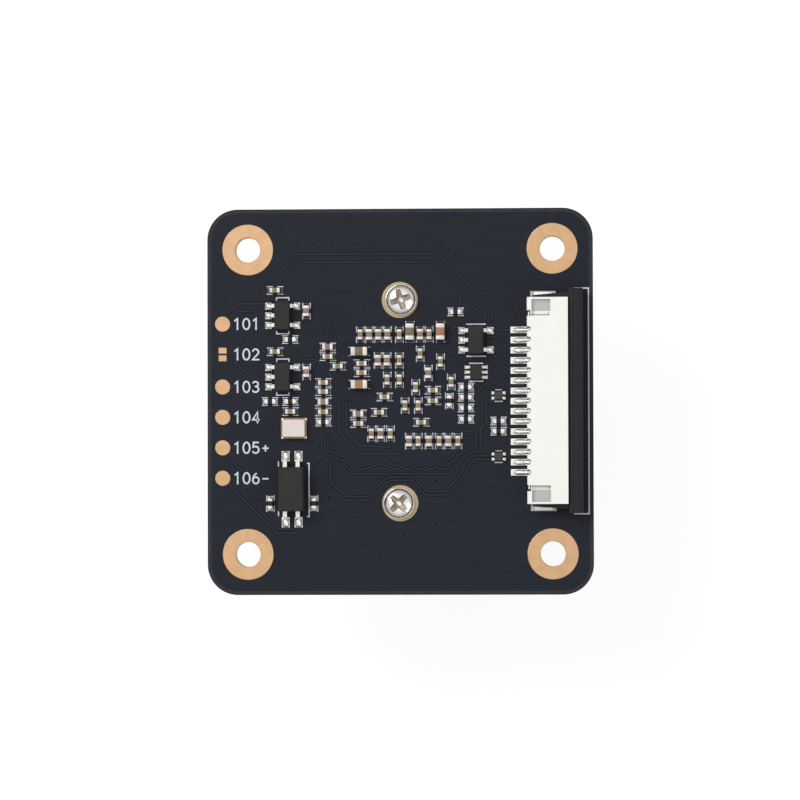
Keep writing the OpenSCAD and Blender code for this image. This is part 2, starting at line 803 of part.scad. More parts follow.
module lens_holder() {
    color(soft_black) on_front() difference() {
        union() {
            linear_extrude(holder_foot_height)
                rounded_rect(holder_foot_side, holder_foot_side, foot_corner_r);
            linear_extrude(ear_thick) {
                square([ear_width, holder_screw_pitch], center = true);
                at_screws() circle(d = ear_width);
            }
            cylinder(h = holder_height, d = holder_tube_d);
            // stiffening ribs from the foot to the tube, on the side of each ear
            for (turn = [90, -90]) rotate(turn) slab_y(rib_width)
                polygon([[rib_root, rib_from], [rib_foot, rib_from], [rib_tip, rib_to], [rib_root, rib_to]]);
        }
        centred_block([sensor_hollow_side, sensor_hollow_side, sensor_hollow_depth + cut], -cut);
        centred_block([
            infrared_size[0] + 2 * pocket_play, infrared_size[1] + 2 * pocket_play, pocket_depth + cut
        ], sensor_hollow_depth - cut);
        cylinder(h = holder_height, d = infrared_window_d);
        translate([0, 0, sensor_hollow_depth + shelf_thick]) cylinder(h = holder_height, d = tube_bore_d);
        at_screws() translate([0, 0, -cut]) cylinder(h = pilot_depth + cut, d = screw_d + pilot_clear);
    }
}

screw_point = 0.3;
head_side_height = 0.35 * screw_head_height;
head_crown_r = 0.49 * screw_head_d;
recess_width = 0.45;
recess_length = 2;
recess_depth = 0.55;
// The recesses as they were left on tightening: the mean angle, and how far each is turned from it
recess_turn = 31;
recess_skew = 14;

module holder_screws() {
    crown = [for (p = arc(1, 15, 90, 6))
        [p[0] * head_crown_r, head_side_height + p[1] * (screw_head_height - head_side_height)]];
    color([0.85, 0.85, 0.84]) translate([0, 0, pad_z]) for (side = [-1, 1])
        translate([0, side * holder_screw_pitch / 2]) rotate(recess_turn - side * recess_skew) difference() {
            rotate_extrude() polygon(concat([
                [0, -screw_length], [screw_d / 2 - screw_point, -screw_length],
                [screw_d / 2, screw_point - screw_length], [screw_d / 2, 0],
                [screw_head_d / 2, 0], [screw_head_d / 2, head_side_height]
            ], crown));
            for (turn = [0, 90]) rotate(turn)
                translate([-recess_length / 2, -recess_width / 2, screw_head_height - recess_depth])
                    cube([recess_length, recess_width, recess_depth + cut]);
        }
}

// ---- Lens ----
// A stack of glass and spacers goes into the barrel from the front and is held by the retainer.

groove_r = 0.35;
groove_x = head_d / 2 + 0.16;
groove_margin = 1.1;
rim_chamfer = 0.5;
neck_relief = 0.3;
neck_length = 0.8;
neck_r = thread_d / 2 - neck_relief;
neck_end = head_length + neck_length;
thread_from = neck_end + neck_relief;
rim_width = 0.3;
mouth_r = head_d / 2 - rim_chamfer - rim_width;
mouth_depth = 1.2;
front_wall = 0.8;
rear_wall = 1.8;
rear_lip = 0.8;
rear_flare = 0.6;
front_bore_r = thread_d / 2 - front_wall;
rear_bore_r = thread_d / 2 - rear_wall;
rear_lip_r = rear_bore_r - rear_lip;
rear_mouth_r = rear_lip_r + rear_flare;
stack_clear = 0.05;
retainer_from = 0.6;
front_from = 1.7;
front_thick = 2.4;
gap_spacer_thick = 1.7;
middle_thick = 2.2;
rear_lip_thick = 1.4;
spacer_from = front_from + front_thick;
middle_from = spacer_from + gap_spacer_thick;
step_z = middle_from + middle_thick + stack_clear;
rear_lip_z = lens_length - rear_lip_thick;
rear_thick = 2.6;
rear_from = rear_lip_z - stack_clear - rear_thick;
rear_spacer_from = middle_from + middle_thick;

module lens_barrel() {
    color(soft_black) difference() {
        rotate_extrude() difference() {
            polygon([
                [0, 0], [head_d / 2 - rim_chamfer, 0], [head_d / 2, rim_chamfer],
                [head_d / 2, head_length - rim_chamfer], [head_d / 2 - rim_chamfer, head_length],
                [neck_r, head_length], [neck_r, neck_end], [thread_d / 2, thread_from],
                [thread_d / 2, lens_length - rim_chamfer], [thread_d / 2 - rim_chamfer, lens_length],
                [0, lens_length]
            ]);
            // flared mouth, the two bores and the lip at the rear
            polygon([
                [-cut, -cut], [mouth_r, -cut], [mouth_r, 0], [front_bore_r, mouth_depth],
                [front_bore_r, step_z], [rear_bore_r, step_z], [rear_bore_r, rear_lip_z],
                [rear_lip_r, rear_lip_z], [rear_mouth_r, lens_length], [rear_mouth_r, lens_length + cut],
                [-cut, lens_length + cut]
            ]);
        }
        for (i = [0:groove_count - 1])
            rotate(i * 360 / groove_count) translate([groove_x, 0, groove_margin])
                cylinder(h = head_length - 2 * groove_margin, r = groove_r, $fn = 24);
    }
}

// Radii of the parts in the front bore and in the rear bore
front_r = front_bore_r - stack_clear;
rear_r = rear_bore_r - stack_clear;

// The flat rim round the curved faces of each element
front_land = 0.85;
middle_land = 1.6;
rear_land = 1.05;
front_clear_r = front_r - front_land;
middle_clear_r = front_r - middle_land;
rear_clear_r = rear_r - rear_land;

// How far the front and rear face of an element stand out. Below zero the face is dished.
front_rises = [0.9, -0.7];
middle_rises = [-0.4, 0.6];
rear_rises = [0.5, 0.6];
curve_steps = 10;

// The openings of the rings, each a little wider than the curved face beside it
bore_margin = 0.1;
stop_r = 2.6;
retainer_bore = [front_clear_r + 3 * bore_margin, front_clear_r + bore_margin];
aperture_bore = [front_clear_r + bore_margin, stop_r];
rear_spacer_bore = [middle_clear_r + bore_margin, rear_clear_r + 2 * bore_margin];
spanner_slot = [1.3, 0.7, 0.8];

module element(from_z, thick, r, clear_r, rises) {
    curve = [for (i = [0:curve_steps]) let (t = i / curve_steps) [clear_r * t, 1 - t * t]];
    front = [for (p = curve) [p[0], from_z - rises[0] * p[1]]];
    rear = [for (i = [curve_steps:-1:0]) [curve[i][0], from_z + thick + rises[1] * curve[i][1]]];
    rotate_extrude() polygon(concat(front, [[r, from_z], [r, from_z + thick]], rear));
}

module spacer_ring(from_z, to_z, r, bore) {
    rotate_extrude() polygon([[bore[0], from_z], [r, from_z], [r, to_z], [bore[1], to_z]]);
}

module lens_retainer() {
    color(soft_black) difference() {
        spacer_ring(retainer_from, front_from, front_r, retainer_bore);
        for (side = [-1, 1]) translate([side * front_r, 0, retainer_from])
            cube(spanner_slot, center = true);
    }
}

module front_element() {
    color([0.6, 0.75, 0.7]) element(front_from, front_thick, front_r, front_clear_r, front_rises);
}

module aperture_spacer() {
    color(soft_black) spacer_ring(spacer_from, middle_from, front_r, aperture_bore);
}

module middle_element() {
    color([0.6, 0.7, 0.8]) element(middle_from, middle_thick, front_r, middle_clear_r, middle_rises);
}

module rear_spacer() {
    color(soft_black) spacer_ring(rear_spacer_from, rear_from, rear_r, rear_spacer_bore);
}

module rear_element() {
    color([0.6, 0.75, 0.7]) element(rear_from, rear_thick, rear_r, rear_clear_r, rear_rises);
}

// ---- Assembly ----

circuit_board();
mounting_rings();
screw_rings();
signal_pads();
component_pads();
ribbon_housing();
ribbon_slider();
ribbon_contacts();
ribbon_anchors();
optocoupler_body();
optocoupler_leads();
regulator_a_body();
regulator_a_leads();
regulator_b_body();
regulator_b_leads();
regulator_c_body();
regulator_c_leads();
buffer_body();
buffer_leads();
oscillator_base();
oscillator_lid();
line_filter_bodies();
line_filter_terminals();
capacitors_tan();
capacitors_olive();
capacitors_orange();
capacitors_mauve();
capacitors_brown();
capacitors_large_olive();
capacitors_large_brown();
capacitor_caps();
resistors();
resistor_caps();
lens_holder();
holder_screws();
infrared_filter();
sensor_package();
sensor_die();
sensor_window();
lens_barrel();
lens_retainer();
front_element();
aperture_spacer();
middle_element();
rear_spacer();
rear_element();
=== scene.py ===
# Camera module: a square circuit board with a screw-in lens on its front, and a ribbon connector and
# small parts on its back. It stands on the rim of its lens, as in its CAD frame.
import json
import math

import bmesh
import bpy
from mathutils import Matrix, Vector


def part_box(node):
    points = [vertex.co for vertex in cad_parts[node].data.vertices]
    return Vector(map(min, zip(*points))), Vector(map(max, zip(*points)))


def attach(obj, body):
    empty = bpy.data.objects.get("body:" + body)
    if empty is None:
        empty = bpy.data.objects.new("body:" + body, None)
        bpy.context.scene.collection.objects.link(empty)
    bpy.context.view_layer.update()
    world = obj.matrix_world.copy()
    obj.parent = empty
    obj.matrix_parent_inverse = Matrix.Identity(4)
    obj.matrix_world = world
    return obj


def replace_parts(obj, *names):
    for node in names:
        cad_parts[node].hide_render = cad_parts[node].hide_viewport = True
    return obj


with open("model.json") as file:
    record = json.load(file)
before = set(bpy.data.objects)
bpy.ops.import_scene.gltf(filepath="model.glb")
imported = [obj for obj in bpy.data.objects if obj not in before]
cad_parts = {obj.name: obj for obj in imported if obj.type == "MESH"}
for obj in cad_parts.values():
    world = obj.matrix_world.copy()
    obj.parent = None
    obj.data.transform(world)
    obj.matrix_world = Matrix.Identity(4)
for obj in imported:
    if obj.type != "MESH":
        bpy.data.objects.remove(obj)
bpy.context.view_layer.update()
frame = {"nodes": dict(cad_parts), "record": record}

# Lengths are in millimetres, and MM brings them to the scene's metres.
MM = 0.001
RECORD = frame["record"]
BODY_OF = {node: body for body, nodes in RECORD["behaviour"]["bodies"].items() for node in nodes}
MOUNTS = {mount["name"]: mount for mount in RECORD["mounts"]}
# Points of a mesh that are this close, in metres, count as one
WELD = 1e-7


# ---- Measuring the frame ----

def box_of(node):
    """The lowest and highest corner of a CAD node, in millimetres."""
    low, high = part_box(node)
    return low / MM, high / MM


def solids(node):
    """The box (low, high) of each separate solid of a CAD node, in a fixed order."""
    mesh = bmesh.new()
    mesh.from_mesh(frame["nodes"][node].data)
    bmesh.ops.remove_doubles(mesh, verts=mesh.verts, dist=WELD)
    left = set(mesh.verts)
    boxes = []
    while left:
        pile = [left.pop()]
        corners = []
        while pile:
            vert = pile.pop()
            corners.append(vert.co / MM)
            for edge in vert.link_edges:
                other = edge.other_vert(vert)
                if other in left:
                    left.remove(other)
                    pile.append(other)
        axes = list(zip(*corners))
        boxes.append((Vector(min(axis) for axis in axes), Vector(max(axis) for axis in axes)))
    mesh.free()
    return sorted(boxes, key=lambda box: tuple(round(value, 4) for value in box[0]))


BOARD_LOW, BOARD_HIGH = box_of("circuit_board")
TOP = BOARD_HIGH.z
UNDER = BOARD_LOW.z
PAD_TOP = box_of("component_pads")[1].z


# ---- Meshes ----

def add_object(name, data):
    """An object in the scene."""
    obj = bpy.data.objects.new(name, data)
    bpy.context.scene.collection.objects.link(obj)
    return obj


class Form:
    """Points and faces, gathered before they become one piece."""

    def __init__(self):
        self.points = []
        self.faces = []

    def add(self, points, faces, place=Matrix()):
        first = len(self.points)
        self.points += [place @ Vector(point) for point in points]
        self.faces += [[first + index for index in face] for face in faces]

    def loft(self, rings, place=Matrix(), ends=True, loop=False):
        """Skins rings of equally many points, from the first to the last."""
        count = len(rings[0])
        points = [point for ring in rings for point in ring]
        faces = []
        for level in range(len(rings) if loop else len(rings) - 1):
            here = level * count
            there = (level + 1) % len(rings) * count
            for i in range(count):
                j = (i + 1) % count
                faces.append([here + i, here + j, there + j, there + i])
        if ends:
            faces.append(list(range(count))[::-1])
            faces.append([(len(rings) - 1) * count + i for i in range(count)])
        self.add(points, faces, place)

    def piece(self, name, look, body="root", sharp=40):
        """Makes the object, gives it its look and lets it ride on a body."""
        mesh = bpy.data.meshes.new(name)
        mesh.from_pydata([point * MM for point in self.points], [], self.faces)
        mesh.validate()
        obj = add_object(name, mesh)
        tidy_normals(mesh)
        shade(mesh, sharp)
        mesh.materials.append(look)
        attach(obj, body)
        return obj


def shade(mesh, sharp):
    """Smooth faces, with a crease at more than an angle in degrees."""
    mesh.polygons.foreach_set("use_smooth", [True] * len(mesh.polygons))
    mesh.set_sharp_from_angle(angle=math.radians(sharp))


def tidy_normals(mesh):
    """Turns every face of a mesh outwards."""
    edit = bmesh.new()
    edit.from_mesh(mesh)
    bmesh.ops.recalc_face_normals(edit, faces=edit.faces)
    edit.to_mesh(mesh)
    edit.free()


def at(x, y, z=0.0, turn=0.0):
    """A place, turned about the vertical by an angle in degrees."""
    return Matrix.Translation((x, y, z)) @ Matrix.Rotation(math.radians(turn), 4, "Z")


def rounded_rect(size_x, size_y, corner, steps=4):
    """The outline of a rectangle with rounded corners, round the origin."""
    points = []
    for quarter, (side_x, side_y) in enumerate(((1, 1), (-1, 1), (-1, -1), (1, -1))):
        for i in range(steps + 1):
            turn = math.pi / 2 * (quarter + i / steps)
            points.append((
                side_x * (size_x / 2 - corner) + corner * math.cos(turn),
                side_y * (size_y / 2 - corner) + corner * math.sin(turn),
            ))
    return points


def circle(radius, steps=48):
    return [
        (radius * math.cos(2 * math.pi * i / steps), radius * math.sin(2 * math.pi * i / steps))
        for i in range(steps)
    ]


def raised(outline, z):
    """An outline at a height."""
    return [(x, y, z) for x, y in outline]


# The corner radius that is left where an edge's rounding would use it up
LEAST_CORNER = 0.005


def rounded_block(form, size, place, edge=0.04, corner=0.04, steps=3):
    """A block on its underside, with rounded corners and a rounded top edge."""
    rings = [raised(rounded_rect(size[0], size[1], corner), 0)]
    for i in range(steps + 1):
        turn = math.pi / 2 * i / steps
        inset = edge * (1 - math.cos(turn))
        across, along = size[0] - 2 * inset, size[1] - 2 * inset
        outline = rounded_rect(across, along, max(corner - inset, LEAST_CORNER))
        rings.append(raised(outline, size[2] - edge + edge * math.sin(turn)))
    form.loft(rings, place)


def mound(form, size, place, corner, steps=5):
    """A blob of solder: steep at its foot, flat on top, its last ring just short of a point."""
    rings = []
    for i in range(steps + 1):
        turn = math.pi / 2 * i / (steps + 0.5)
        share = math.cos(turn)
        rings.append(raised(
            rounded_rect(size[0] * share, size[1] * share, corner * share), size[2] * math.sin(turn)
        ))
    form.loft(rings, place)


# Half of a bead's cross-section, as shares of its half width and height: steep sides, a narrow top
BEAD_SIDE = ((1, 0), (0.93, 0.2), (0.74, 0.52), (0.48, 0.82), (0.22, 0.96), (0, 1))


def bead(form, stations, place):
    """A ridge of solder along X. A station is (x, half width, height)."""
    section = list(BEAD_SIDE) + [(-across, up) for across, up in BEAD_SIDE[-2::-1]]
    rings = [[(x, half * across, height * up) for across, up in section] for x, half, height in stations]
    form.loft(rings, place)


def lathe(form, profile, place=Matrix(), steps=64, loop=True):
    """Turns a profile of (radius, height) about Z."""
    rings = [raised(circle(radius, steps), z) for radius, z in profile]
    form.loft(rings, place, ends=not loop, loop=loop)


# A mitre reaches out at most one over this share of its line's shift
LEAST_MITRE = 0.5


def offset_line(line, shift):
    """The points of an open line, moved sideways by a distance with mitred bends."""
    line = [Vector(point) for point in line]
    moved = []
    for i, point in enumerate(line):
        before = (point - line[i - 1]).normalized() if i else None
        after = (line[i + 1] - point).normalized() if i + 1 < len(line) else None
        before = before or after
        after = after or before
        middle = (before + after).normalized()
        side = Vector((-middle.y, middle.x))
        reach = shift / max(LEAST_MITRE, side.dot(Vector((-before.y, before.x))))
        moved.append(point + side * reach)
    return moved


def stroke(form, line, width, low, high, steps=5):
    """A raised line with round ends, from one height to another."""
    left = offset_line(line, width / 2)
    right = offset_line(line, -width / 2)
    count = len(line)
    outline = list(left)
    for end, side in ((line[-1], left[-1]), (line[0], right[0])):
        if end is line[0]:
            outline += right[::-1]
        start = side - Vector(end)
        for i in range(1, steps):
            turn = Matrix.Rotation(-math.pi * i / steps, 2)
            outline.append(Vector(end) + turn @ start)
    total = len(outline)
    points = [(x, y, high) for x, y in outline] + [(x, y, low) for x, y in outline]
    sides = [[i, (i + 1) % total, total + (i + 1) % total, total + i] for i in range(total)]
    first_right = count + steps - 1
    strips = [
        [i, i + 1, first_right + count - 2 - i, first_right + count - 1 - i] for i in range(count - 1)
    ]
    far_cap = list(range(count - 1, first_right + 1))
    near_cap = list(range(first_right + count - 1, total)) + [0]
    form.add(points, sides + strips + [far_cap, near_cap])


# ---- Materials ----

def linear(colour, factor):
    """A linear colour from display values of 0 to 255, made lighter or darker."""
    channels = []
    for value in colour:
        share = value / 255
        light = share / 12.92 if share <= 0.04045 else ((share + 0.055) / 1.055) ** 2.4
        channels.append(min(1.0, light * factor))
    return (*channels, 1.0)


def set_sockets(node, values):
    """Sets a node's inputs, whose names have _ for a space."""
    for socket, value in values.items():
        node.inputs[socket.replace("_", " ")].default_value = value


def add_node(nodes, kind, **values):
    """A shader node with its inputs set."""
    node = nodes.new("ShaderNode" + kind)
    set_sockets(node, values)
    return node


# A noise pattern's values lie mostly between these two
NOISE_LOW = 0.3
NOISE_HIGH = 0.7


def material(name, slot, colour, rough, metal, mottle, grain, specular=0.5, spread=0.08,
             stretch=(1, 1, 1), **sockets):
    """A procedural material. colour is in display values of 0 to 255, and changes by mottle: (size in
    mm, share). grain is (size in mm, depth in mm) of the surface, and spread that of its roughness.
    stretch draws the pattern out along an axis."""
    look = bpy.data.materials.new(name)
    look.use_nodes = True
    look["slot"] = slot
    nodes, links = look.node_tree.nodes, look.node_tree.links
    shader = nodes["Principled BSDF"]
    set_sockets(shader, {"Metallic": metal, "Specular IOR Level": specular, **sockets})
    place = add_node(nodes, "TexCoord")
    mapping = add_node(nodes, "Mapping", Scale=stretch)
    links.new(place.outputs["Object"], mapping.inputs["Vector"])

    def noise(size, detail):
        pattern = add_node(nodes, "TexNoise", Scale=1 / (size * MM), Detail=detail)
        links.new(mapping.outputs["Vector"], pattern.inputs["Vector"])
        return pattern.outputs["Fac"]

    def ramp(source, low, high):
        scale = add_node(nodes, "MapRange", From_Min=NOISE_LOW, From_Max=NOISE_HIGH,
                         To_Min=low, To_Max=high)
        links.new(source, scale.inputs["Value"])
        return scale.outputs["Result"]

    patches = noise(mottle[0], detail=3)
    blend = add_node(nodes, "Mix")
    blend.data_type = "RGBA"
    set_sockets(blend, {"A": linear(colour, 1 - mottle[1]), "B": linear(colour, 1 + mottle[1])})
    links.new(ramp(patches, 0, 1), blend.inputs["Factor"])
    links.new(blend.outputs["Result"], shader.inputs["Base Color"])
    surface = noise(grain[0], detail=4)
    links.new(ramp(surface, max(0, rough - spread), min(1, rough + spread)), shader.inputs["Roughness"])
    bump = add_node(nodes, "Bump", Strength=1, Distance=grain[1] * MM)
    links.new(surface, bump.inputs["Height"])
    links.new(bump.outputs["Normal"], shader.inputs["Normal"])
    return look


# Name, slot, colour, roughness, metal, mottle, grain, and what is particular to it
MASK = material("Solder mask", "board_mask", (31, 34, 42), 0.42, 0, (0.35, 0.09), (0.35, 0.002),
                specular=0.12, stretch=(0.08, 1, 1))
MASK_LINE = material("Solder mask over copper", "board_mask", (41, 45, 55), 0.4, 0, (1.5, 0.08),
                     (0.35, 0.004), specular=0.15)
MASK_GAP = material("Solder mask in a gap", "board_mask", (21, 23, 31), 0.45, 0, (1.5, 0.08),
                    (0.35, 0.004), specular=0.1)
# Near-black mask over each via hole, painted shade of the hole
VIA_WELL_SHADE = material("Solder mask in a via, painted shade", "board_mask", (12, 12, 16), 0.5, 0, (0.2, 0.1), (0.35, 0.004),
                    specular=0.05)
MASK_EDGE = material("Solder mask at the edge", "board_mask", (50, 49, 54), 0.5, 0, (0.6, 0.15),
                     (0.2, 0.006), specular=0.12)
LAMINATE = material("Board laminate", "board_mask", (58, 56, 54), 0.75, 0, (0.25, 0.25), (0.12, 0.02),
                    specular=0.2, stretch=(1, 1, 8))
SILK = material("Silkscreen ink", "board_mask", (206, 212, 224), 0.6, 0, (0.4, 0.06), (0.08, 0.006),
                specular=0.2)
GOLD = material("Gold plating", "gold_plating", (196, 159, 121), 0.5, 0.85, (0.8, 0.06), (0.15, 0.003))
SOLDER = material("Solder", "solder_tin", (232, 231, 227), 0.28, 0.8, (0.3, 0.06), (0.25, 0.0008),
                  spread=0.06)
PAD_TIN = material("Tinned pad", "solder_tin", (236, 235, 230), 0.42, 0.6, (0.3, 0.05), (0.2, 0.002))
LEAD = material("Tinned lead", "solder_tin", (228, 227, 223), 0.32, 0.85, (0.3, 0.06), (0.2, 0.0008))
# Capacitor fillets: the solder's tin darkened to mid-grey, painted shade for the dark slope beside each
# chip end
SHADED_FILLET = material("Solder fillet with painted shade", "solder_tin", (150, 149, 146), 0.3, 1.0, (0.2, 0.12), (0.2, 0.001))
CAP_END = material("Plated chip ends", "solder_tin", (208, 203, 198), 0.4, 0.7, (0.3, 0.06), (0.08, 0.006))
CHROME = material("Plated screw", "screw_steel", (236, 232, 227), 0.16, 1.0, (0.5, 0.05), (0.4, 0.001),
                  spread=0.05)
# The cross recess: darker, brownish, duller metal, painted shade in the recess
SHADED_RECESS = material("Screw recess with painted shade", "screw_steel", (158, 143, 132), 0.55, 0.5, (0.25, 0.1), (0.2, 0.002))
# The rings under the screws: gold darkened to a brownish tone, painted shade round the screw heads
SHADED_GOLD_RING = material("Gold ring with painted shade", "gold_plating", (172, 152, 122), 0.5, 0.8, (0.4, 0.1), (0.15, 0.003))
CREAM = material("Connector housing", "connector_cream", (246, 243, 235), 0.55, 0, (2.0, 0.02),
                 (0.12, 0.004), Subsurface_Weight=0.05)
SLIDER_BLACK = material("Connector slider", "connector_black", (37, 35, 39), 0.5, 0, (1.0, 0.1),
                        (0.1, 0.006), specular=0.15)
PACKAGE = material("Moulded package", "package_black", (46, 45, 46), 0.6, 0, (0.4, 0.14), (0.06, 0.008),
                   specular=0.15)
ANCHOR = material("Brushed anchor", "anchor_metal", (174, 175, 176), 0.42, 0.7, (0.3, 0.1), (0.12, 0.004),
                  stretch=(1, 6, 1))
OSC_BASE = material("Oscillator base", "oscillator_ceramic", (150, 126, 92), 0.6, 0, (0.4, 0.08),
                    (0.1, 0.006))
OSC_LID = material("Oscillator lid", "oscillator_metal", (206, 195, 190), 0.4, 0.85, (0.6, 0.05),
                   (0.2, 0.003), stretch=(1, 5, 1))
FERRITE = material("Filter body", "filter_ferrite", (70, 64, 62), 0.55, 0, (0.3, 0.14), (0.08, 0.008),
                   specular=0.2)
# The colour of each kind of capacitor, and the slot of the two kinds that share another's
CERAMICS = {
    "tan": (138, 116, 86), "olive": (126, 115, 78), "orange": (140, 111, 76),
    "mauve": (130, 107, 95), "brown": (138, 114, 100),
    "large_olive": (107, 96, 75), "large_brown": (151, 111, 78),
}
CERAMIC_SLOT = {"large_olive": "ceramic_olive", "large_brown": "ceramic_orange"}
RESISTOR = material("Resistor coating", "resistor_black", (34, 33, 32), 0.35, 0, (0.3, 0.12),
                    (0.08, 0.004), specular=0.25)
HOLDER = material("Holder plastic", "holder_black", (34, 34, 36), 0.55, 0, (1.2, 0.08), (0.12, 0.012),
                  specular=0.35)
BARREL = material("Anodised barrel", "barrel_black", (30, 30, 33), 0.42, 0.6, (0.8, 0.08), (0.1, 0.006),
                  stretch=(1, 1, 3))
LENS_GLASS = material("Coated glass", "lens_glass", (225, 240, 232), 0.02, 0, (4.0, 0.02), (3.0, 0.0005),
                      spread=0.01, Transmission_Weight=1.0, IOR=1.6, Coat_Weight=0.6,
                      Coat_Tint=(0.75, 0.6, 1.0, 1.0))
FILTER_GLASS = material("Filter glass", "filter_glass", (200, 232, 240), 0.03, 0, (4.0, 0.02),
                        (3.0, 0.0005), spread=0.01, Transmission_Weight=1.0, IOR=1.5, Coat_Weight=0.5,
                        Coat_Tint=(1.0, 0.7, 0.75, 1.0))
SENSOR_BODY = material("Sensor package", "sensor_ceramic", (58, 56, 60), 0.6, 0, (0.6, 0.08), (0.08, 0.006))
SILICON = material("Sensor silicon", "sensor_silicon", (70, 62, 92), 0.25, 0.5, (1.5, 0.25), (0.05, 0.002))


# ---- Pieces that keep a CAD node's shape ----

# Faces that meet at less than this, in degrees, are one flat face
FLAT_ANGLE = 1


def dressed(node, look, edge=0.04, segments=2, angle=32):
    """A copy of a CAD node with softened edges, which stands for it."""
    mesh = frame["nodes"][node].data.copy()
    edit = bmesh.new()
    edit.from_mesh(mesh)
    bmesh.ops.remove_doubles(edit, verts=edit.verts, dist=WELD)
    bmesh.ops.dissolve_limit(
        edit, angle_limit=math.radians(FLAT_ANGLE), verts=edit.verts, edges=edit.edges
    )
    edit.to_mesh(mesh)
    edit.free()
    if "custom_normal" in mesh.attributes:
        mesh.attributes.remove(mesh.attributes["custom_normal"])
    piece = add_object(node + "_finish", mesh)
    mesh.materials.clear()
    mesh.materials.append(look)
    mesh.polygons.foreach_set("material_index", [0] * len(mesh.polygons))
    shade(mesh, angle)
    if edge:
        bevel = piece.modifiers.new("Soft edges", "BEVEL")
        bevel.width = edge * MM
        bevel.segments = segments
        bevel.limit_method = "ANGLE"
        bevel.angle_limit = math.radians(angle)
        bevel.harden_normals = True
    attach(piece, BODY_OF[node])
    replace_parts(piece, node)
    return piece


def keep(node, look):
    """Lets a CAD node show as it is, in its own look."""
    for slot in frame["nodes"][node].material_slots:
        slot.material = look


# ---- Circuit board ----

def make_board():
    """Solder mask on the board's two faces, bare laminate on its sides and in its holes."""
    board = dressed("circuit_board", MASK, edge=0.06)
    board.data.materials.append(LAMINATE)
    for face in board.data.polygons:
        upright = abs(face.normal.z) < 0.5
        if upright:
            face.material_index = 1
    keep("component_pads", PAD_TIN)


HOLE_R = MOUNTS["board_holes"]["dims"]["hole_r_mm"]
# How far the plating stands inside its hole, and the rings' softened edges
LINING = 0.02
RIM = 0.03


def make_rings():
    """Gold rings on both faces, joined by the plating of their holes."""
    low, high = box_of("mounting_rings")
    rings = solids("mounting_rings")
    outer = (rings[0][1].x - rings[0][0].x) / 2
    bore = HOLE_R - LINING
    profile = [
        (outer, TOP), (outer, high.z - RIM / 2), (outer - RIM, high.z), (HOLE_R + RIM, high.z),
        (bore, high.z - RIM), (bore, low.z + RIM), (HOLE_R + RIM, low.z),
        (outer - RIM, low.z), (outer, low.z + RIM / 2), (outer, UNDER), (HOLE_R, UNDER), (HOLE_R, TOP),
    ]
    form = Form()
    for box_low, box_high in rings:
        if box_low.z > UNDER:
            middle = (box_low + box_high) / 2
            lathe(form, profile, at(middle.x, middle.y), steps=96)
    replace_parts(form.piece("mounting_rings_plated", GOLD, sharp=20), "mounting_rings")


# The softened edge of a signal pad: how far it lies in from the side, and down from the top
PAD_EDGE = 0.03
PAD_EDGE_DROP = 0.02
# The corner radius of the pad that is split in two
SPLIT_PAD_CORNER = 0.06


def make_gold_pads():
    """Signal pads, and the rings under the screws, whose gold is darkened to brown as painted shade."""
    form = Form()
    for low, high in solids("signal_pads"):
        size = high - low
        middle = (low + high) / 2
        is_round = abs(size.x - size.y) < 0.01
        corner = size.x / 2 if is_round else SPLIT_PAD_CORNER
        rings = []
        for inset, z in ((0, low.z), (0, high.z - PAD_EDGE_DROP), (PAD_EDGE, high.z)):
            outline = rounded_rect(size.x - 2 * inset, size.y - 2 * inset, corner - inset, 12)
            rings.append(raised(outline, z))
        form.loft(rings, at(middle.x, middle.y))
    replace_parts(form.piece("signal_pads_plated", GOLD, sharp=20), "signal_pads")
    dressed("screw_rings", SHADED_GOLD_RING, edge=0.015)


# ---- Chips ----

CAPS = solids("capacitor_caps") + solids("resistor_caps")
CAP_LENGTH = min(min(high.x - low.x, high.y - low.y) for low, high in CAPS)
# A wide chip's metal ends are at least this share of its width
WIDE_CAP = 0.5
# A capacitor's solder: how far it starts under the end and reaches past it, its rise as a share of
# the chip's height, how hollow its slope and how thick its toe are, and how it narrows
FILLET_START = 0.02
FILLET_REACH = 0.24
FILLET_RISE = 0.75
FILLET_HOLLOW = 1.8
FILLET_TOE = 0.02
FILLET_NARROWS = 0.12
FILLET_STEPS = 6
# Half of its cross-section: how far in from its side, and the share of its height
FILLET_SIDE = ((0, 0), (0.03, 0.8), (0.1, 1))
FILLET_CROWN = 1.02
# A resistor's solder, which covers its end: its width and height are shares of the chip's
BLOB_REACH = 0.2
BLOB_WIDTH = 0.94
BLOB_HEIGHT = 1.15
BLOB_CORNER = 0.16


def chip_place(low, high):
    """Where a chip's body stands, and its size with its metal ends along X."""
    size = high - low
    middle = (low + high) / 2
    cap = min(((one + other) / 2 - middle for one, other in CAPS), key=lambda away: away.length)
    if abs(cap.x) > abs(cap.y):
        return at(middle.x, middle.y, low.z), size.x, size.y, size.z
    return at(middle.x, middle.y, low.z, 90), size.y, size.x, size.z


def fillet(form, end, length, width, height):
    """Solder that climbs the end of a capacitor."""
    rings = []
    for i in range(FILLET_STEPS + 1):
        share = i / FILLET_STEPS
        x = length / 2 - FILLET_START + FILLET_REACH * share
        z = FILLET_RISE * height * (1 - share) ** FILLET_HOLLOW + FILLET_TOE * (1 - share ** 6)
        half = width / 2 * (1 - FILLET_NARROWS * share ** 4)
        near = [(x, -half + inset, z * up) for inset, up in FILLET_SIDE]
        far = [(x, half - inset, z * up) for inset, up in FILLET_SIDE[::-1]]
        rings.append(near + [(x, 0, z * FILLET_CROWN)] + far)
    form.loft(rings, end)


def blob(form, end, length, width, height):
    """Solder that covers the end of a resistor."""
    size = (2 * BLOB_REACH, width * BLOB_WIDTH, height * BLOB_HEIGHT)
    mound(form, size, end @ at(length / 2, 0), BLOB_CORNER)


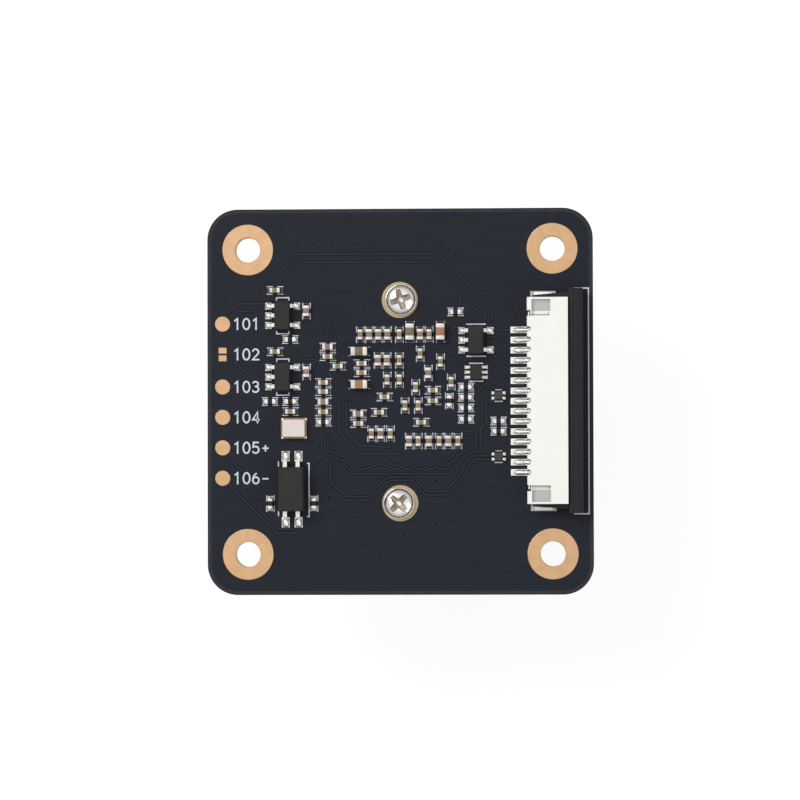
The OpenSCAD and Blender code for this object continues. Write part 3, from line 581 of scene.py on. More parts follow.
def add_chips(node, bodies, ends, solder, joint):
    """The chips of a CAD node: their bodies, metal ends and solder."""
    for low, high in solids(node):
        place, body_length, width, height = chip_place(low, high)
        length = body_length + 2 * CAP_LENGTH
        cap = max(CAP_LENGTH, WIDE_CAP * width)
        # the ends wrap the body, and stand a little proud of it
        rounded_block(bodies, (body_length + 0.04, width - 0.02, height - 0.015), place, 0.03, 0.02)
        for turn in (0, 180):
            end = place @ at(0, 0, 0, turn)
            rounded_block(ends, (cap + 0.01, width, height), end @ at((length - cap) / 2, 0), 0.05, 0.05)
            joint(solder, end, length, width, height)


def make_chips():
    ends, fillets = Form(), Form()
    for kind, colour in CERAMICS.items():
        bodies = Form()
        add_chips("capacitors_" + kind, bodies, ends, fillets, fillet)
        look = material("Ceramic " + kind.replace("_", " "), CERAMIC_SLOT.get(kind, "ceramic_" + kind),
                        colour, 0.5, 0, (0.7, 0.12), (0.07, 0.006))
        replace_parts(bodies.piece("ceramic_bodies_" + kind, look), "capacitors_" + kind)
    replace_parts(ends.piece("capacitor_ends_plated", CAP_END), "capacitor_caps")
    bodies, ends, blobs = Form(), Form(), Form()
    add_chips("resistors", bodies, ends, blobs, blob)
    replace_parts(bodies.piece("resistor_bodies_coated", RESISTOR), "resistors")
    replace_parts(ends.piece("resistor_ends_plated", SOLDER), "resistor_caps")
    # The capacitor fillets take the darkened tin, painted shade
    fillets.piece("capacitor_solder", SHADED_FILLET, sharp=60)
    blobs.piece("resistor_solder", SOLDER, sharp=60)


# ---- Packages with leads ----

# Each package: its softened edge, and the solder on its leads' feet, from behind a foot's tip to ahead
# of it, wider than the lead on each side
REGULATOR = dict(edge=0.06, back=0.26, ahead=0.31, wider=0.11, height=0.24)
PACKAGES = {
    "regulator_a": REGULATOR, "regulator_b": REGULATOR, "regulator_c": REGULATOR,
    "buffer": dict(edge=0.04, back=0.15, ahead=0.25, wider=0.03, height=0.16),
    "optocoupler": dict(edge=0.09, back=0.66, ahead=0.24, wider=0.14, height=0.3),
}
# Stations along that solder, as shares of its length behind or ahead, half width and height
FOOT_STATIONS = (
    (-1, 0.7, 0.3), (-0.9, 0.95, 0.8), (-0.6, 1, 1), (0, 1, 1), (0.35, 0.97, 0.82), (0.75, 0.9, 0.4),
    (1, 0.8, 0),
)
FOOT_TOE = 0.01
# A line filter's soldered terminal is larger than the CAD's by this much in X and Z
TERMINAL_COAT = (0.06, 0.01)


def lead_feet(body, leads):
    """The place of the tip of each lead's foot, with X outwards, and the lead's width."""
    low, high = box_of(body)
    centre = (low + high) / 2
    feet = []
    for box_low, box_high in solids(leads):
        size = box_high - box_low
        tip = (box_low + box_high) / 2
        axis = 0 if size.x > size.y else 1
        outwards = tip[axis] > centre[axis]
        tip[axis] = (box_high if outwards else box_low)[axis]
        turn = ((180, 0), (-90, 90))[axis][outwards]
        feet.append((at(tip.x, tip.y, box_low.z, turn), size[1 - axis]))
    return feet


def make_package(prefix, edge, back, ahead, wider, height):
    dressed(prefix + "_body", PACKAGE, edge=edge, segments=3)
    dressed(prefix + "_leads", LEAD, edge=0.03)
    form = Form()
    for place, width in lead_feet(prefix + "_body", prefix + "_leads"):
        half = width / 2 + wider
        bead(form, [
            (along * (back if along < 0 else ahead), half * across, max(height * up, FOOT_TOE))
            for along, across, up in FOOT_STATIONS
        ], place)
    form.piece(prefix + "_solder", SOLDER, sharp=60)


def make_packages():
    for prefix, sizes in PACKAGES.items():
        make_package(prefix, **sizes)
    keep("oscillator_base", OSC_BASE)
    dressed("oscillator_lid", OSC_LID, edge=0.05, segments=3)
    dressed("line_filter_bodies", FERRITE, edge=0.06)
    form = Form()
    for low, high in solids("line_filter_terminals"):
        middle = (low + high) / 2
        size = high - low + Vector((TERMINAL_COAT[0], 0, TERMINAL_COAT[1]))
        rounded_block(form, size, at(middle.x, middle.y, low.z), 0.08, 0.07)
    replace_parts(form.piece("line_filter_ends_plated", SOLDER), "line_filter_terminals")


# ---- Ribbon connector ----

# Solder on a contact, a broad foot on the pad that then follows the contact to the housing: stations
# of (distance from the tail's tip, half width, height)
CONTACT_SOLDER = (
    (0.02, 0.03, 0.04), (0.1, 0.13, 0.16), (0.22, 0.21, 0.28), (0.4, 0.26, 0.36), (0.7, 0.28, 0.4),
    (1.1, 0.27, 0.42), (1.3, 0.24, 0.44), (1.45, 0.2, 0.48), (1.6, 0.17, 0.54), (1.72, 0.165, 0.57),
    (1.86, 0.165, 0.575),
)
# Solder on an anchor's tab. Its middle lies in from the tab's end by the inset
TAB_SHORTER = 0.1
TAB_WIDTH = 0.5
TAB_HEIGHT = 0.12
TAB_INSET = 0.3
TAB_CORNER = 0.2
# A painted shadow line, a dark brown strip, along the seam where a window's lip ends, with a short return:
# (distance from the housing's rear, across)
SEAM_SHADOW_LINE = ((0.3, 8.35), (2.12, 8.35), (2.12, 8.55))
SEAM_SHADOW_WIDTH = 0.07
SEAM_SHADOW_DEPTH = 0.02
SEAM_SHADOW_RISE = 0.004


def make_connector():
    dressed("ribbon_housing", CREAM, edge=0.04)
    dressed("ribbon_slider", SLIDER_BLACK, edge=0.04)
    dressed("ribbon_anchors", ANCHOR, edge=0.02)
    dressed("ribbon_contacts", LEAD, edge=0.03)
    form = Form()
    for low, high in solids("ribbon_contacts"):
        bead(form, CONTACT_SOLDER, at(low.x, (low.y + high.y) / 2, low.z))
    form.piece("contact_solder", LEAD, sharp=60)
    tabs = Form()
    for low, high in solids("ribbon_anchors"):
        middle = (low + high) / 2
        side = 1 if middle.y > 0 else -1
        across = side * (max(abs(low.y), abs(high.y)) - TAB_INSET)
        size = (high.x - low.x - TAB_SHORTER, TAB_WIDTH, TAB_HEIGHT)
        mound(tabs, size, at(middle.x, across, low.z + TAB_HEIGHT), TAB_CORNER)
    tabs.piece("anchor_solder", PAD_TIN, sharp=60)
    # Dark brown strips in the filter body's material on the housing's top: painted shadow along each
    # window's lip
    low, high = box_of("ribbon_housing")
    seam_shadows = Form()
    for side in (-1, 1):
        line = [(low.x + along, side * across) for along, across in SEAM_SHADOW_LINE]
        stroke(seam_shadows, line, SEAM_SHADOW_WIDTH, high.z - SEAM_SHADOW_DEPTH, high.z + SEAM_SHADOW_RISE)
    seam_shadows.piece("window_seam_shadows", FERRITE)


# ---- Silkscreen, tracks and vias ----

INK = 0.02
INK_WIDTH = 0.12
# Marks in one quarter round a chip: a short line beside a small one, a tick at a large one
MARK_WIDTH = 0.08
MARK = ((0.24, 0.375), (0.79, 0.375))
TICK = ((0.93, 0.42), (1.02, 0.4))
LARGE_WIDTH = 0.7
# Lines above and below a package, as offsets from its middle
BRACKET = ((-0.6, 1.55), (-0.6, 1.78), (0.6, 1.78), (0.6, 1.55))
PACKAGE_LINES = {
    "regulator_a_body": BRACKET, "regulator_b_body": BRACKET,
    "regulator_c_body": ((-0.92, 1.58), (0.92, 1.58)), "buffer_body": ((-0.66, 0.88), (0.66, 0.88)),
}


def ink(form, line, width=INK_WIDTH, height=INK):
    stroke(form, line, width, TOP, TOP + height)


def chip_marks(form, low, high):
    place, _, width, _ = chip_place(low, high)
    marks = TICK if width > LARGE_WIDTH else MARK
    for side_x in (-1, 1):
        for side_y in (-1, 1):
            ink(form, [(place @ Vector((side_x * x, side_y * y, 0))).xy for x, y in marks], MARK_WIDTH)


def make_silkscreen():
    form = Form()
    for node in ["capacitors_" + kind for kind in CERAMICS] + ["resistors"]:
        for low, high in solids(node):
            chip_marks(form, low, high)
    for node, line in PACKAGE_LINES.items():
        low, high = box_of(node)
        middle = (low + high) / 2
        for side in (1, -1):
            ink(form, [(middle.x + x, middle.y + side * y) for x, y in line])
    # the dot at the third regulator's first lead
    low, high = box_of("regulator_c_body")
    ink(form, [(low.x + 0.1, high.y - 0.28), (low.x + 0.12, high.y - 0.28)], 0.22)
    # below and above each line filter
    for low, high in solids("line_filter_bodies"):
        middle = (low + high) / 2
        for half, y, width in ((0.35, middle.y - 0.57, INK_WIDTH), (0.3, middle.y + 0.57, 0.07)):
            ink(form, [(middle.x - half, y), (middle.x + half, y)], width)
    # on the right of the optocoupler, and at its two left corners
    low, high = box_of("optocoupler_body")
    ink(form, [(high.x + 0.22, high.y + 0.35), (high.x + 0.37, high.y + 0.35),
               (high.x + 0.37, low.y - 0.5), (high.x + 0.22, low.y - 0.5)])
    for y, reach in ((high.y + 0.1, 0.4), (low.y + 0.1, -0.5)):
        ink(form, [(low.x - 0.05, y), (low.x - 0.05, y + reach)])
    # the long line behind the connector's slider, with a return at each end
    low, high = box_of("ribbon_slider")
    ink(form, [(high.x - 0.9, high.y + 0.08), (high.x + 0.55, high.y + 0.08),
               (high.x + 0.55, low.y - 0.08), (high.x - 0.9, low.y - 0.08)])
    form.piece("silkscreen", SILK)


LABELS = ("101", "102", "103", "104", "105+", "106-")
LABEL_X = -16.4
LABEL_HEIGHT = 1.1
LABEL_STROKE = 0.16
LABEL_PITCH = 0.92
# Strokes that meet differ in height by this, so that no two faces coincide
LABEL_STEP = 0.002


def bend(x, y, radius_x, radius_y, start, end, steps=12):
    """Points of an elliptical arc about (x, y), between two angles in degrees."""
    turns = [math.radians(start + (end - start) * i / steps) for i in range(steps + 1)]
    return [(x + radius_x * math.cos(turn), y + radius_y * math.sin(turn)) for turn in turns]


# Single-line figures in a box 0.6 wide and 1 high
FIGURES = {
    "0": [bend(0.3, 0.5, 0.29, 0.48, 90, 270), bend(0.3, 0.5, 0.29, 0.48, -90, 90)],
    "1": [[(0.12, 0.8), (0.34, 0.98), (0.34, 0.02)]],
    "2": [bend(0.29, 0.7, 0.26, 0.27, 160, -35) + [(0.02, 0.03), (0.58, 0.03)]],
    "3": [bend(0.28, 0.75, 0.24, 0.22, 150, -90), bend(0.28, 0.28, 0.28, 0.25, 90, -150)],
    "4": [[(0.46, 0.02), (0.46, 0.97), (0.02, 0.28), (0.6, 0.28)]],
    "5": [[(0.52, 0.97), (0.1, 0.97), (0.06, 0.55)] + bend(0.28, 0.32, 0.29, 0.3, 125, -145)],
    "6": [bend(0.3, 0.31, 0.27, 0.29, 90, 270), bend(0.3, 0.31, 0.27, 0.29, -90, 90),
          bend(0.55, 0.33, 0.52, 0.64, 115, 180)],
    "+": [[(0.1, 0.45), (0.56, 0.45)], [(0.33, 0.22), (0.33, 0.68)]],
    "-": [[(0.1, 0.45), (0.56, 0.45)]],
}


def make_labels():
    """Plain numbers beside the signal pads. The split pad's two halves share one."""
    rows = sorted({round((low.y + high.y) / 2, 2) for low, high in solids("signal_pads")}, reverse=True)
    rows[1:3] = [(rows[1] + rows[2]) / 2]
    form = Form()
    for text, row in zip(LABELS, rows):
        for i, figure in enumerate(text):
            for level, line in enumerate(FIGURES[figure]):
                ink(form, [
                    (LABEL_X + i * LABEL_PITCH + x * LABEL_HEIGHT, row + (y - 0.5) * LABEL_HEIGHT)
                    for x, y in line
                ], LABEL_STROKE, INK + LABEL_STEP * level)
    form.piece("pad_numbers", SILK)


# One wave of a track: points as (share of its period, share of its height)
WAVE = ((0.1, 0), (0.25, 1), (0.5, 1), (0.65, 0))
WAVE_HEIGHT = 0.2
WAVE_PERIOD = 1.1


def wavy(line):
    """The line with a square-shouldered wave laid on its straight stretches."""
    line = [Vector(point) for point in line]
    points = line[:1]
    for start, end in zip(line, line[1:]):
        way = end - start
        count = int(way.length / WAVE_PERIOD)
        if count >= 2:
            along = way.normalized()
            side = Vector((-along.y, along.x)) * WAVE_HEIGHT
            lead = (way.length - count * WAVE_PERIOD) / 2
            for i in range(count):
                base = start + along * (lead + i * WAVE_PERIOD)
                points += [base + along * WAVE_PERIOD * share + side * up for share, up in WAVE]
        points.append(end)
    return points


# Tracks under the solder mask on the back: (width, points)
TRACKS = [
    # round the top, from the regulators to the third one
    (0.12, [(-12.7, 11.9), (-10.1, 14.55), (3.7, 14.55), (9.1, 9.1), (9.1, 7.8)]),
    (0.12, [(-12.7, 11.1), (-9.8, 13.75), (3.3, 13.75), (8.35, 8.75), (8.35, 7.8)]),
    (0.16, [(-16.9, 8.8), (-16, 9.7), (-13.2, 9.7)]), (0.14, [(-15.8, 8.95), (-14.6, 8.95)]),
    (0.1, [(-8.1, 9.8), (-6.4, 8.1), (-6.4, 6)]), (0.1, [(-8.5, 9.4), (-6.9, 7.8), (-6.9, 6)]),
    (0.14, [(-14.2, 6.9), (-14.2, 5.8), (-13.3, 4.9)]), (0.14, [(-16.4, 4), (-13.4, 1.3)]),
    (0.14, [(-9.5, 4.15), (-8.4, 4.2), (-6.3, 2.1), (-6.3, 1.4), (-5.2, 0.2)]),
    # left of the small parts, down to the bottom rows
    (0.14, [(-6, 0), (-6, -3), (-4, -5.1), (0, -5.1)]),
    (0.14, [(-5.3, 0), (-5.3, -3), (-4, -4.3), (-1, -4.5)]),
    (0.12, [(-7.4, -3.3), (-7.4, -4.9), (-5, -7.1), (4.7, -7.1), (6.9, -4.9)]),
    (0.12, [(-7.25, -6.2), (-7.25, -8.2), (-5.5, -9.7), (-3, -9.7), (-1.5, -8), (-0.7, -7.75),
            (1.2, -7.75), (2.5, -9.2), (4.6, -9.2), (6.5, -7.1), (6.5, -6.6), (7.3, -5.7), (9, -5.7)]),
    (0.12, [(-6.9, -6.2), (-6.9, -8), (-5.3, -9.35), (-3.1, -9.35), (-1.6, -7.7), (-0.7, -7.4),
            (1.3, -7.4), (2.6, -8.85), (4.5, -8.85), (6.15, -6.95), (6.15, -6.5), (7.1, -5.35),
            (9, -5.35)]),
    # between the small parts and the connector
    (0.14, [(8.05, 0), (8.05, -2.4), (7.5, -3.2), (7.5, -4.6), (6.6, -5.5)]),
    (0.14, [(8.5, 0), (8.5, -2), (7.9, -2.9), (7.9, -4.4)]),
    (0.14, [(4, -1.4), (5.5, -2.9), (7, -2.9)]), (0.14, [(8.6, 6.3), (9.5, 6.3), (10.6, 5.2), (11, 5.2)]),
    (0.14, [(9.1, 4.6), (10.6, 3.1), (11, 3.1)]), (0.14, [(9.2, 7.3), (9.6, 7), (11, 7)]),
    (0.14, [(3.3, 5.3), (4.2, 5.6), (5.5, 6.5)]), (0.14, [(4.2, 6.2), (5.3, 7.3), (6, 7.4)]),
    (0.14, [(5.9, 10.6), (5.9, 9.2)]), (0.14, [(8.6, 1.9), (7.6, 0.9)]),
    # lower left, round the optocoupler
    (0.14, [(-17.1, -5.3), (-12.2, -10.2)]),
    (0.14, [(-17, -8), (-16.3, -8.7), (-12.2, -12.9), (-10.3, -12.9), (-9.7, -12.5)]),
    (0.14, [(-15.7, -8.8), (-12, -12.5), (-10.5, -12.5)]),
]
WAVY_TRACKS = [
    (0.12, [(-6.9, -3.4), (-6.9, -4.4), (-4.9, -6.3), (4.3, -6.3), (6.1, -4.5)]),
    (0.12, [(-7.1, -3.3), (-7.1, -4.6), (-4.9, -6.65), (4.5, -6.65), (6.5, -4.65)]),
]
# On the front, from vias to the sensor under the holder
FRONT_TRACKS = [
    [(-8.5, 12.2), (-8.5, 9.5), (-6.2, 7.2)], [(-5.3, 10.8), (-5.3, 8), (-4.4, 7.1)],
    [(4.1, 9.9), (4.1, 8.2), (5, 7.2)], [(6, 10.6), (6, 8), (5.6, 7.2)], [(9.2, 3.4), (7.2, 3.4)],
    [(-15.4, 6.3), (-12.4, 3.3), (-7.2, 3.3)], [(-12.6, -2.8), (-7.2, -2.8)],
    [(-13.9, -3), (-13.2, -3.7), (-7.2, -3.7)], [(-15.4, -2.9), (-13.8, -4.5), (-7.2, -4.5)],
    [(-4.2, -11.4), (-4.2, -7.2)], [(3.5, -12), (3.5, -7.2)], [(5.2, -10.3), (5.2, -7.2)],
    [(9.2, -8.4), (9.2, -7), (7.2, -5)],
]
VIAS = [
    # along the top
    (-11.8, 16.8), (-10.2, 15.7), (-8.5, 15.6), (-6.7, 15.7), (-4.6, 15.6), (-2.6, 15.6), (-0.1, 15.6),
    (1.9, 15.6), (4, 15.5), (5.5, 14.4), (6.8, 12.4), (8.5, 10.9), (6, 10.6), (4.1, 9.9), (2.7, 11.3),
    (7.5, 9.3), (9.9, 8.2), (11.4, 8.2), (2.4, 8.2), (-8.5, 12.2),
    # on the left
    (-13.9, 10.6), (-17.2, 10.3), (-5.3, 10.8), (-2.7, 11.4), (-3.5, 9.2), (-5.7, 8.4), (-7.5, 6.7),
    (-8.4, 5.4), (-15.4, 6.3), (9.2, 3.4), (-15.4, -2.9), (-13.9, -3), (-12.6, -2.8), (-15.2, -8.6),
    (-14, -9.5), (-8, -4.4), (-8, -6),
    # along the bottom
    (-7, -9.4), (-5.5, -7.7), (-3.7, -7.9), (-4.2, -11.4), (-5.8, -12.8), (-2.1, -13), (-6.9, -14.6),
    (-4.6, -15.3), (-2, -15.1), (0.4, -13.1), (0.4, -15.1), (2.3, -15.1), (4.7, -13.7), (3.5, -12),
    (6.1, -12), (5.2, -10.3), (7.7, -10.3), (3.5, -7.8), (7.2, -8.3), (9.2, -8.4), (-7.1, -3.1),
]
TRACK_RISE = 0.012
FRONT_TRACK_WIDTH = 0.14
# The copper-free gap on each side of a track, where the mask lies lower
GAP_RISE = 0.005
GAP_WIDTH = 0.1
VIA_R = 0.12
# The ring round a via: (distance out from its hole, rise), and the mask that fills the hole, near-black as
# painted shade of the hole
VIA_RING = ((0, 0), (0.01, 0.006), (0.03, 0.006), (0.05, 0))
VIA_FILL_R = VIA_R * 0.8
VIA_FILL_RISE = 0.004


def make_tracks():
    lines, gaps, front_lines = Form(), Form(), Form()
    for width, line in TRACKS + [(width, wavy(line)) for width, line in WAVY_TRACKS]:
        stroke(lines, line, width, TOP, TOP + TRACK_RISE)
        stroke(gaps, line, width + 2 * GAP_WIDTH, TOP, TOP + GAP_RISE)
    for line in FRONT_TRACKS:
        stroke(front_lines, line, FRONT_TRACK_WIDTH, UNDER - TRACK_RISE, UNDER)
    lines.piece("tracks", MASK_LINE)
    gaps.piece("track_gaps", MASK_GAP)
    front_lines.piece("front_tracks", MASK_LINE)
    rings, wells = Form(), Form()
    for x, y in VIAS:
        for face, way in ((TOP, 1), (UNDER, -1)):
            ring = [(VIA_R + out, face + way * rise) for out, rise in VIA_RING]
            lathe(rings, ring, at(x, y), steps=16)
            fill = [(VIA_R, face), (VIA_FILL_R, face + way * VIA_FILL_RISE)]
            lathe(wells, fill, at(x, y), steps=16, loop=False)
    rings.piece("via_rings", MASK_LINE)
    # The discs over the via holes are near-black, painted shade
    wells.piece("via_well_shades", VIA_WELL_SHADE)


# The strip along the board's edge, past the copper under the mask
BOARD_CORNER = 3
STRIP_OUTER, STRIP_INNER = 0.1, 0.38


def make_board_rim():
    side = BOARD_HIGH.x - BOARD_LOW.x
    form = Form()
    for low_z, high_z in ((TOP, TOP + GAP_RISE), (UNDER - GAP_RISE, UNDER)):
        rings = []
        for inset, z in ((STRIP_OUTER, low_z), (STRIP_OUTER, high_z),
                         (STRIP_INNER, high_z), (STRIP_INNER, low_z)):
            outline = rounded_rect(side - 2 * inset, side - 2 * inset, BOARD_CORNER - inset, 16)
            rings.append(raised(outline, z))
        form.loft(rings, ends=False, loop=True)
    form.piece("board_rim", MASK_EDGE)


# ---- Screws ----

SHANK_R = 1.0
POINT_R = 0.7
POINT_LENGTH = 0.3
# A head's side stands straight for this share of its height. Its crown starts at a share of its radius,
# and is fuller the higher the power
HEAD_SIDE = 0.35
CROWN_START = 0.98
CROWN_POWER = 2.4
CROWN_STEPS = 24
# How far a head stands off its hole's middle, and its turn in degrees
HEAD_SHIFT = 0.12
HEAD_TURN = {1: 17, -1: 45}
# One pair of a cross recess's arms: its half widths at the mouth and on the floor, and the floor as
# (distance along, depth)
ARM_MOUTH = 0.33
ARM_FLOOR = 0.22
ARM_LINE = ((-1.02, 0.22), (-0.3, 0.55), (0.3, 0.55), (1.02, 0.22))
# Both start this far above the head. The round well in their middle: (radius, height over the head)
CUT_ABOVE = 0.1
WELL_LINE = ((0.5, CUT_ABOVE), (0.16, -0.7))


def cross_arms(top_z, turn):
    form = Form()
    mouth_z = top_z + CUT_ABOVE
    form.loft([
        [(x, -ARM_MOUTH, mouth_z), (x, -ARM_FLOOR, top_z - depth),
         (x, ARM_FLOOR, top_z - depth), (x, ARM_MOUTH, mouth_z)] for x, depth in ARM_LINE
    ], at(0, 0, 0, turn))
    return form


def cut_out(piece, form, place, index):
    """Takes a form out of a piece, and gives the cut faces one of its materials."""
    mesh = bpy.data.meshes.new("cutter")
    mesh.from_pydata([place @ point * MM for point in form.points], [], form.faces)
    tidy_normals(mesh)
    mesh.polygons.foreach_set("material_index", [index] * len(mesh.polygons))
    for look in piece.data.materials:
        mesh.materials.append(look)
    cutter = add_object("cutter", mesh)
    modifier = piece.modifiers.new("Cut", "BOOLEAN")
    modifier.operation = "DIFFERENCE"
    modifier.solver = "EXACT"
    modifier.object = cutter
    bpy.context.view_layer.update()
    result = bpy.data.meshes.new_from_object(piece.evaluated_get(bpy.context.evaluated_depsgraph_get()))
    piece.modifiers.clear()
    piece.data = result
    bpy.data.objects.remove(cutter)


def make_screws():
    """Pan heads with a cross recess, turned as each screw was left."""
    heads = Form()
    cuts = []
    for low, high in solids("holder_screws"):
        centre = (low + high) / 2
        side = 1 if centre.y > 0 else -1
        head_r = (high.x - low.x) / 2
        side_z = PAD_TOP + HEAD_SIDE * (high.z - PAD_TOP)
        profile = [(POINT_R, low.z), (SHANK_R, low.z + POINT_LENGTH), (SHANK_R, PAD_TOP),
                   (head_r, PAD_TOP), (head_r, side_z)]
        for i in range(CROWN_STEPS):
            share = 1 - i / CROWN_STEPS
            rise = (1 - share ** CROWN_POWER) ** 0.5
            profile.append((head_r * CROWN_START * share, side_z + (high.z - side_z) * rise))
        place = at(centre.x + HEAD_SHIFT * side, centre.y, 0, HEAD_TURN[side])
        lathe(heads, profile, place, steps=144, loop=False)
        well = Form()
        well.loft([raised(circle(radius), high.z + rise) for radius, rise in WELL_LINE])
        cuts += [(cross_arms(high.z, 0), place, 1), (cross_arms(high.z, 90), place, 1), (well, place, 0)]
    piece = heads.piece("holder_screws_plated", CHROME)
    # The recess arms' cut faces take the darker metal, painted shade; the round well's faces keep the
    # plated metal
    piece.data.materials.append(SHADED_RECESS)
    for form, place, index in cuts:
        cut_out(piece, form, place, index)
    shade(piece.data, 35)
    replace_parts(piece, "holder_screws")


# ---- Lens and sensor ----

# The barrel's thread: its root, just inside the barrel's surface, its crest's height over that, and
# its section as (share of that height, distance along the axis)
THREAD_ROOT_R = 5.99
THREAD_CREST = 0.07
THREAD_SECTION = ((0, -0.17), (1, -0.03), (1, 0.03), (0, 0.17))
THREAD_PITCH = 0.5
# It starts past the barrel's neck, ends short of its rear, and rises and fades over a few steps
THREAD_START = 7.2
THREAD_REAR_GAP = 0.6
THREAD_STEPS = 48
FADE_STEPS = 12
LEAST_FADE = 0.05


def make_thread():
    """The barrel's fine outer thread, a ridge wound round it."""
    end = box_of("lens_barrel")[1].z - THREAD_REAR_GAP
    total = (end - THREAD_START) / THREAD_PITCH * THREAD_STEPS
    rings = []
    for i in range(int(total) + 1):
        turn = 2 * math.pi * i / THREAD_STEPS
        z = THREAD_START + THREAD_PITCH * i / THREAD_STEPS
        fade = max(LEAST_FADE, min(1, i / FADE_STEPS, (total - i) / FADE_STEPS))
        out = Vector((math.cos(turn), math.sin(turn), 0))
        rings.append([
            out * (THREAD_ROOT_R + THREAD_CREST * fade * share) + Vector((0, 0, z + along))
            for share, along in THREAD_SECTION
        ])
    form = Form()
    form.loft(rings)
    form.piece("barrel_thread", BARREL, "lens_barrel")


def make_lens():
    dressed("lens_holder", HOLDER, edge=0.15, segments=3)
    dressed("lens_barrel", BARREL, edge=0.08)
    make_thread()
    for node in ("lens_retainer", "aperture_spacer", "rear_spacer"):
        dressed(node, BARREL, edge=0.03)
    for node in ("front_element", "middle_element", "rear_element"):
        dressed(node, LENS_GLASS, edge=0)
    dressed("infrared_filter", FILTER_GLASS, edge=0.02)
    dressed("sensor_window", FILTER_GLASS, edge=0.02)
    dressed("sensor_package", SENSOR_BODY, edge=0.05)
    dressed("sensor_die", SILICON, edge=0.01)


# ---- Floor, light and camera ----

FLOOR_HALF = 2000
FLOOR_DROP = 0.02
# The floor lights the module as a pale one does. Where it is seen it glows nearly white, and a dim
# part of it takes the shadow
FLOOR_COLOUR = (0.85, 0.85, 0.85, 1)
FLOOR_GLOW = 0.86
FLOOR_DIM = (0.2, 0.2, 0.2, 1)
# The world's strength as a light and in a gloss: (height where it is full, at the horizon, in full)
SKY_LIGHT = (0.7, 0.33, 0.56)
SKY_GLOSS = (0.9, 0.28, 1.0)


def ray_mix(nodes, links):
    """One where the camera, a gloss or a glass sees the surface, else nought."""
    path = add_node(nodes, "LightPath")
    seen = path.outputs["Is Camera Ray"]
    for ray in ("Is Glossy Ray", "Is Transmission Ray"):
        either = add_node(nodes, "Math")
        either.operation = "MAXIMUM"
        links.new(seen, either.inputs[0])
        links.new(path.outputs[ray], either.inputs[1])
        seen = either.outputs[0]
    return seen


def make_floor():
    half = FLOOR_HALF * MM
    mesh = bpy.data.meshes.new("floor")
    corners = ((-half, -half), (half, -half), (half, half), (-half, half))
    mesh.from_pydata(raised(corners, -FLOOR_DROP * MM), [], [[0, 1, 2, 3]])
    add_object("floor", mesh)
    look = bpy.data.materials.new("Floor")
    look.use_nodes = True
    nodes, links = look.node_tree.nodes, look.node_tree.links
    nodes.clear()
    glow = add_node(nodes, "Emission", Strength=FLOOR_GLOW)
    dim = add_node(nodes, "BsdfDiffuse", Color=FLOOR_DIM)
    seen = add_node(nodes, "AddShader")
    lit = add_node(nodes, "BsdfDiffuse", Color=FLOOR_COLOUR)
    choice = add_node(nodes, "MixShader")
    output = add_node(nodes, "OutputMaterial")
    links.new(glow.outputs[0], seen.inputs[0])
    links.new(dim.outputs[0], seen.inputs[1])
    links.new(ray_mix(nodes, links), choice.inputs["Fac"])
    links.new(lit.outputs[0], choice.inputs[1])
    links.new(seen.outputs[0], choice.inputs[2])
    links.new(choice.outputs[0], output.inputs["Surface"])
    mesh.materials.append(look)


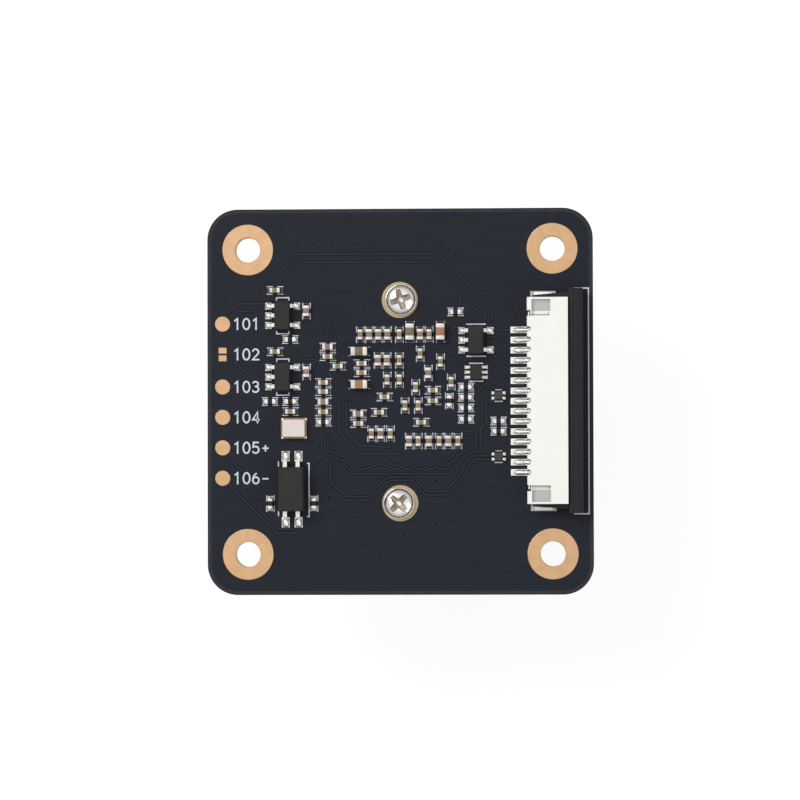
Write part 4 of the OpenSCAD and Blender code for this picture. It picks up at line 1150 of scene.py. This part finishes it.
def make_world():
    """White as a background, greyer towards the horizon in a gloss, and weaker as a light."""
    world = bpy.data.worlds.new("Studio")
    bpy.context.scene.world = world
    world.use_nodes = True
    nodes, links = world.node_tree.nodes, world.node_tree.links
    background = nodes["Background"]
    place = add_node(nodes, "TexCoord")
    split = add_node(nodes, "SeparateXYZ")
    links.new(place.outputs["Generated"], split.inputs[0])

    def rise(top, low, high):
        """A strength that climbs from the horizon to full at a height."""
        climb = add_node(nodes, "MapRange", From_Min=0, From_Max=top, To_Min=low, To_Max=high)
        links.new(split.outputs["Z"], climb.inputs["Value"])
        return climb.outputs["Result"]

    strength = add_node(nodes, "Mix")
    links.new(ray_mix(nodes, links), strength.inputs["Factor"])
    links.new(rise(*SKY_LIGHT), strength.inputs["A"])
    links.new(rise(*SKY_GLOSS), strength.inputs["B"])
    path = add_node(nodes, "LightPath")
    shown = add_node(nodes, "Mix", B=1)
    links.new(path.outputs["Is Camera Ray"], shown.inputs["Factor"])
    links.new(strength.outputs["Result"], shown.inputs["A"])
    links.new(shown.outputs["Result"], background.inputs["Strength"])
    set_sockets(background, {"Color": (1, 1, 1, 1)})


def make_light(name, position, side, power):
    """A square soft light that looks at the middle of the module."""
    data = bpy.data.lights.new(name, "AREA")
    data.size = side * MM
    data.energy = power
    light = add_object(name, data)
    light.location = Vector(position) * MM
    aim = Vector((0, 0, TOP)) - Vector(position)
    light.rotation_euler = aim.to_track_quat("-Z", "Y").to_euler()


# The camera stands over the back of the board, leans off the vertical by two small angles in degrees,
# and is rolled by a third
CAMERA_DISTANCE = 400
CAMERA_TARGET = (0, 0.15, TOP)
CAMERA_LEAN = (2.8, 1.4)
CAMERA_ROLL = 0.15
CAMERA_LENS = 183
CAMERA_SENSOR = 36


def make_camera():
    """Looks down on the board's back, at the photo's angle and scale."""
    lean_x, lean_y, roll = (math.radians(angle) for angle in (*CAMERA_LEAN, CAMERA_ROLL))
    pose = (Matrix.Rotation(lean_x, 4, "Y") @ Matrix.Rotation(lean_y, 4, "X")
            @ Matrix.Rotation(-roll, 4, "Z"))
    data = bpy.data.cameras.new("Camera")
    data.sensor_width = CAMERA_SENSOR
    data.lens = CAMERA_LENS
    data.clip_start = 0.01
    data.clip_end = 20
    camera = add_object("Camera", data)
    place = (Vector(CAMERA_TARGET) + pose.col[2].xyz * CAMERA_DISTANCE) * MM
    camera.matrix_world = Matrix.Translation(place) @ pose
    bpy.context.scene.camera = camera


make_board()
make_board_rim()
make_rings()
make_gold_pads()
make_chips()
make_packages()
make_connector()
make_silkscreen()
make_labels()
make_tracks()
make_screws()
make_lens()
make_floor()
make_world()
make_light("Key light", (-260, 220, 420), 260, 1.6)
make_light("Fill light", (300, -160, 300), 300, 0.35)
make_camera()
bpy.context.scene.view_settings.view_transform = "Standard"
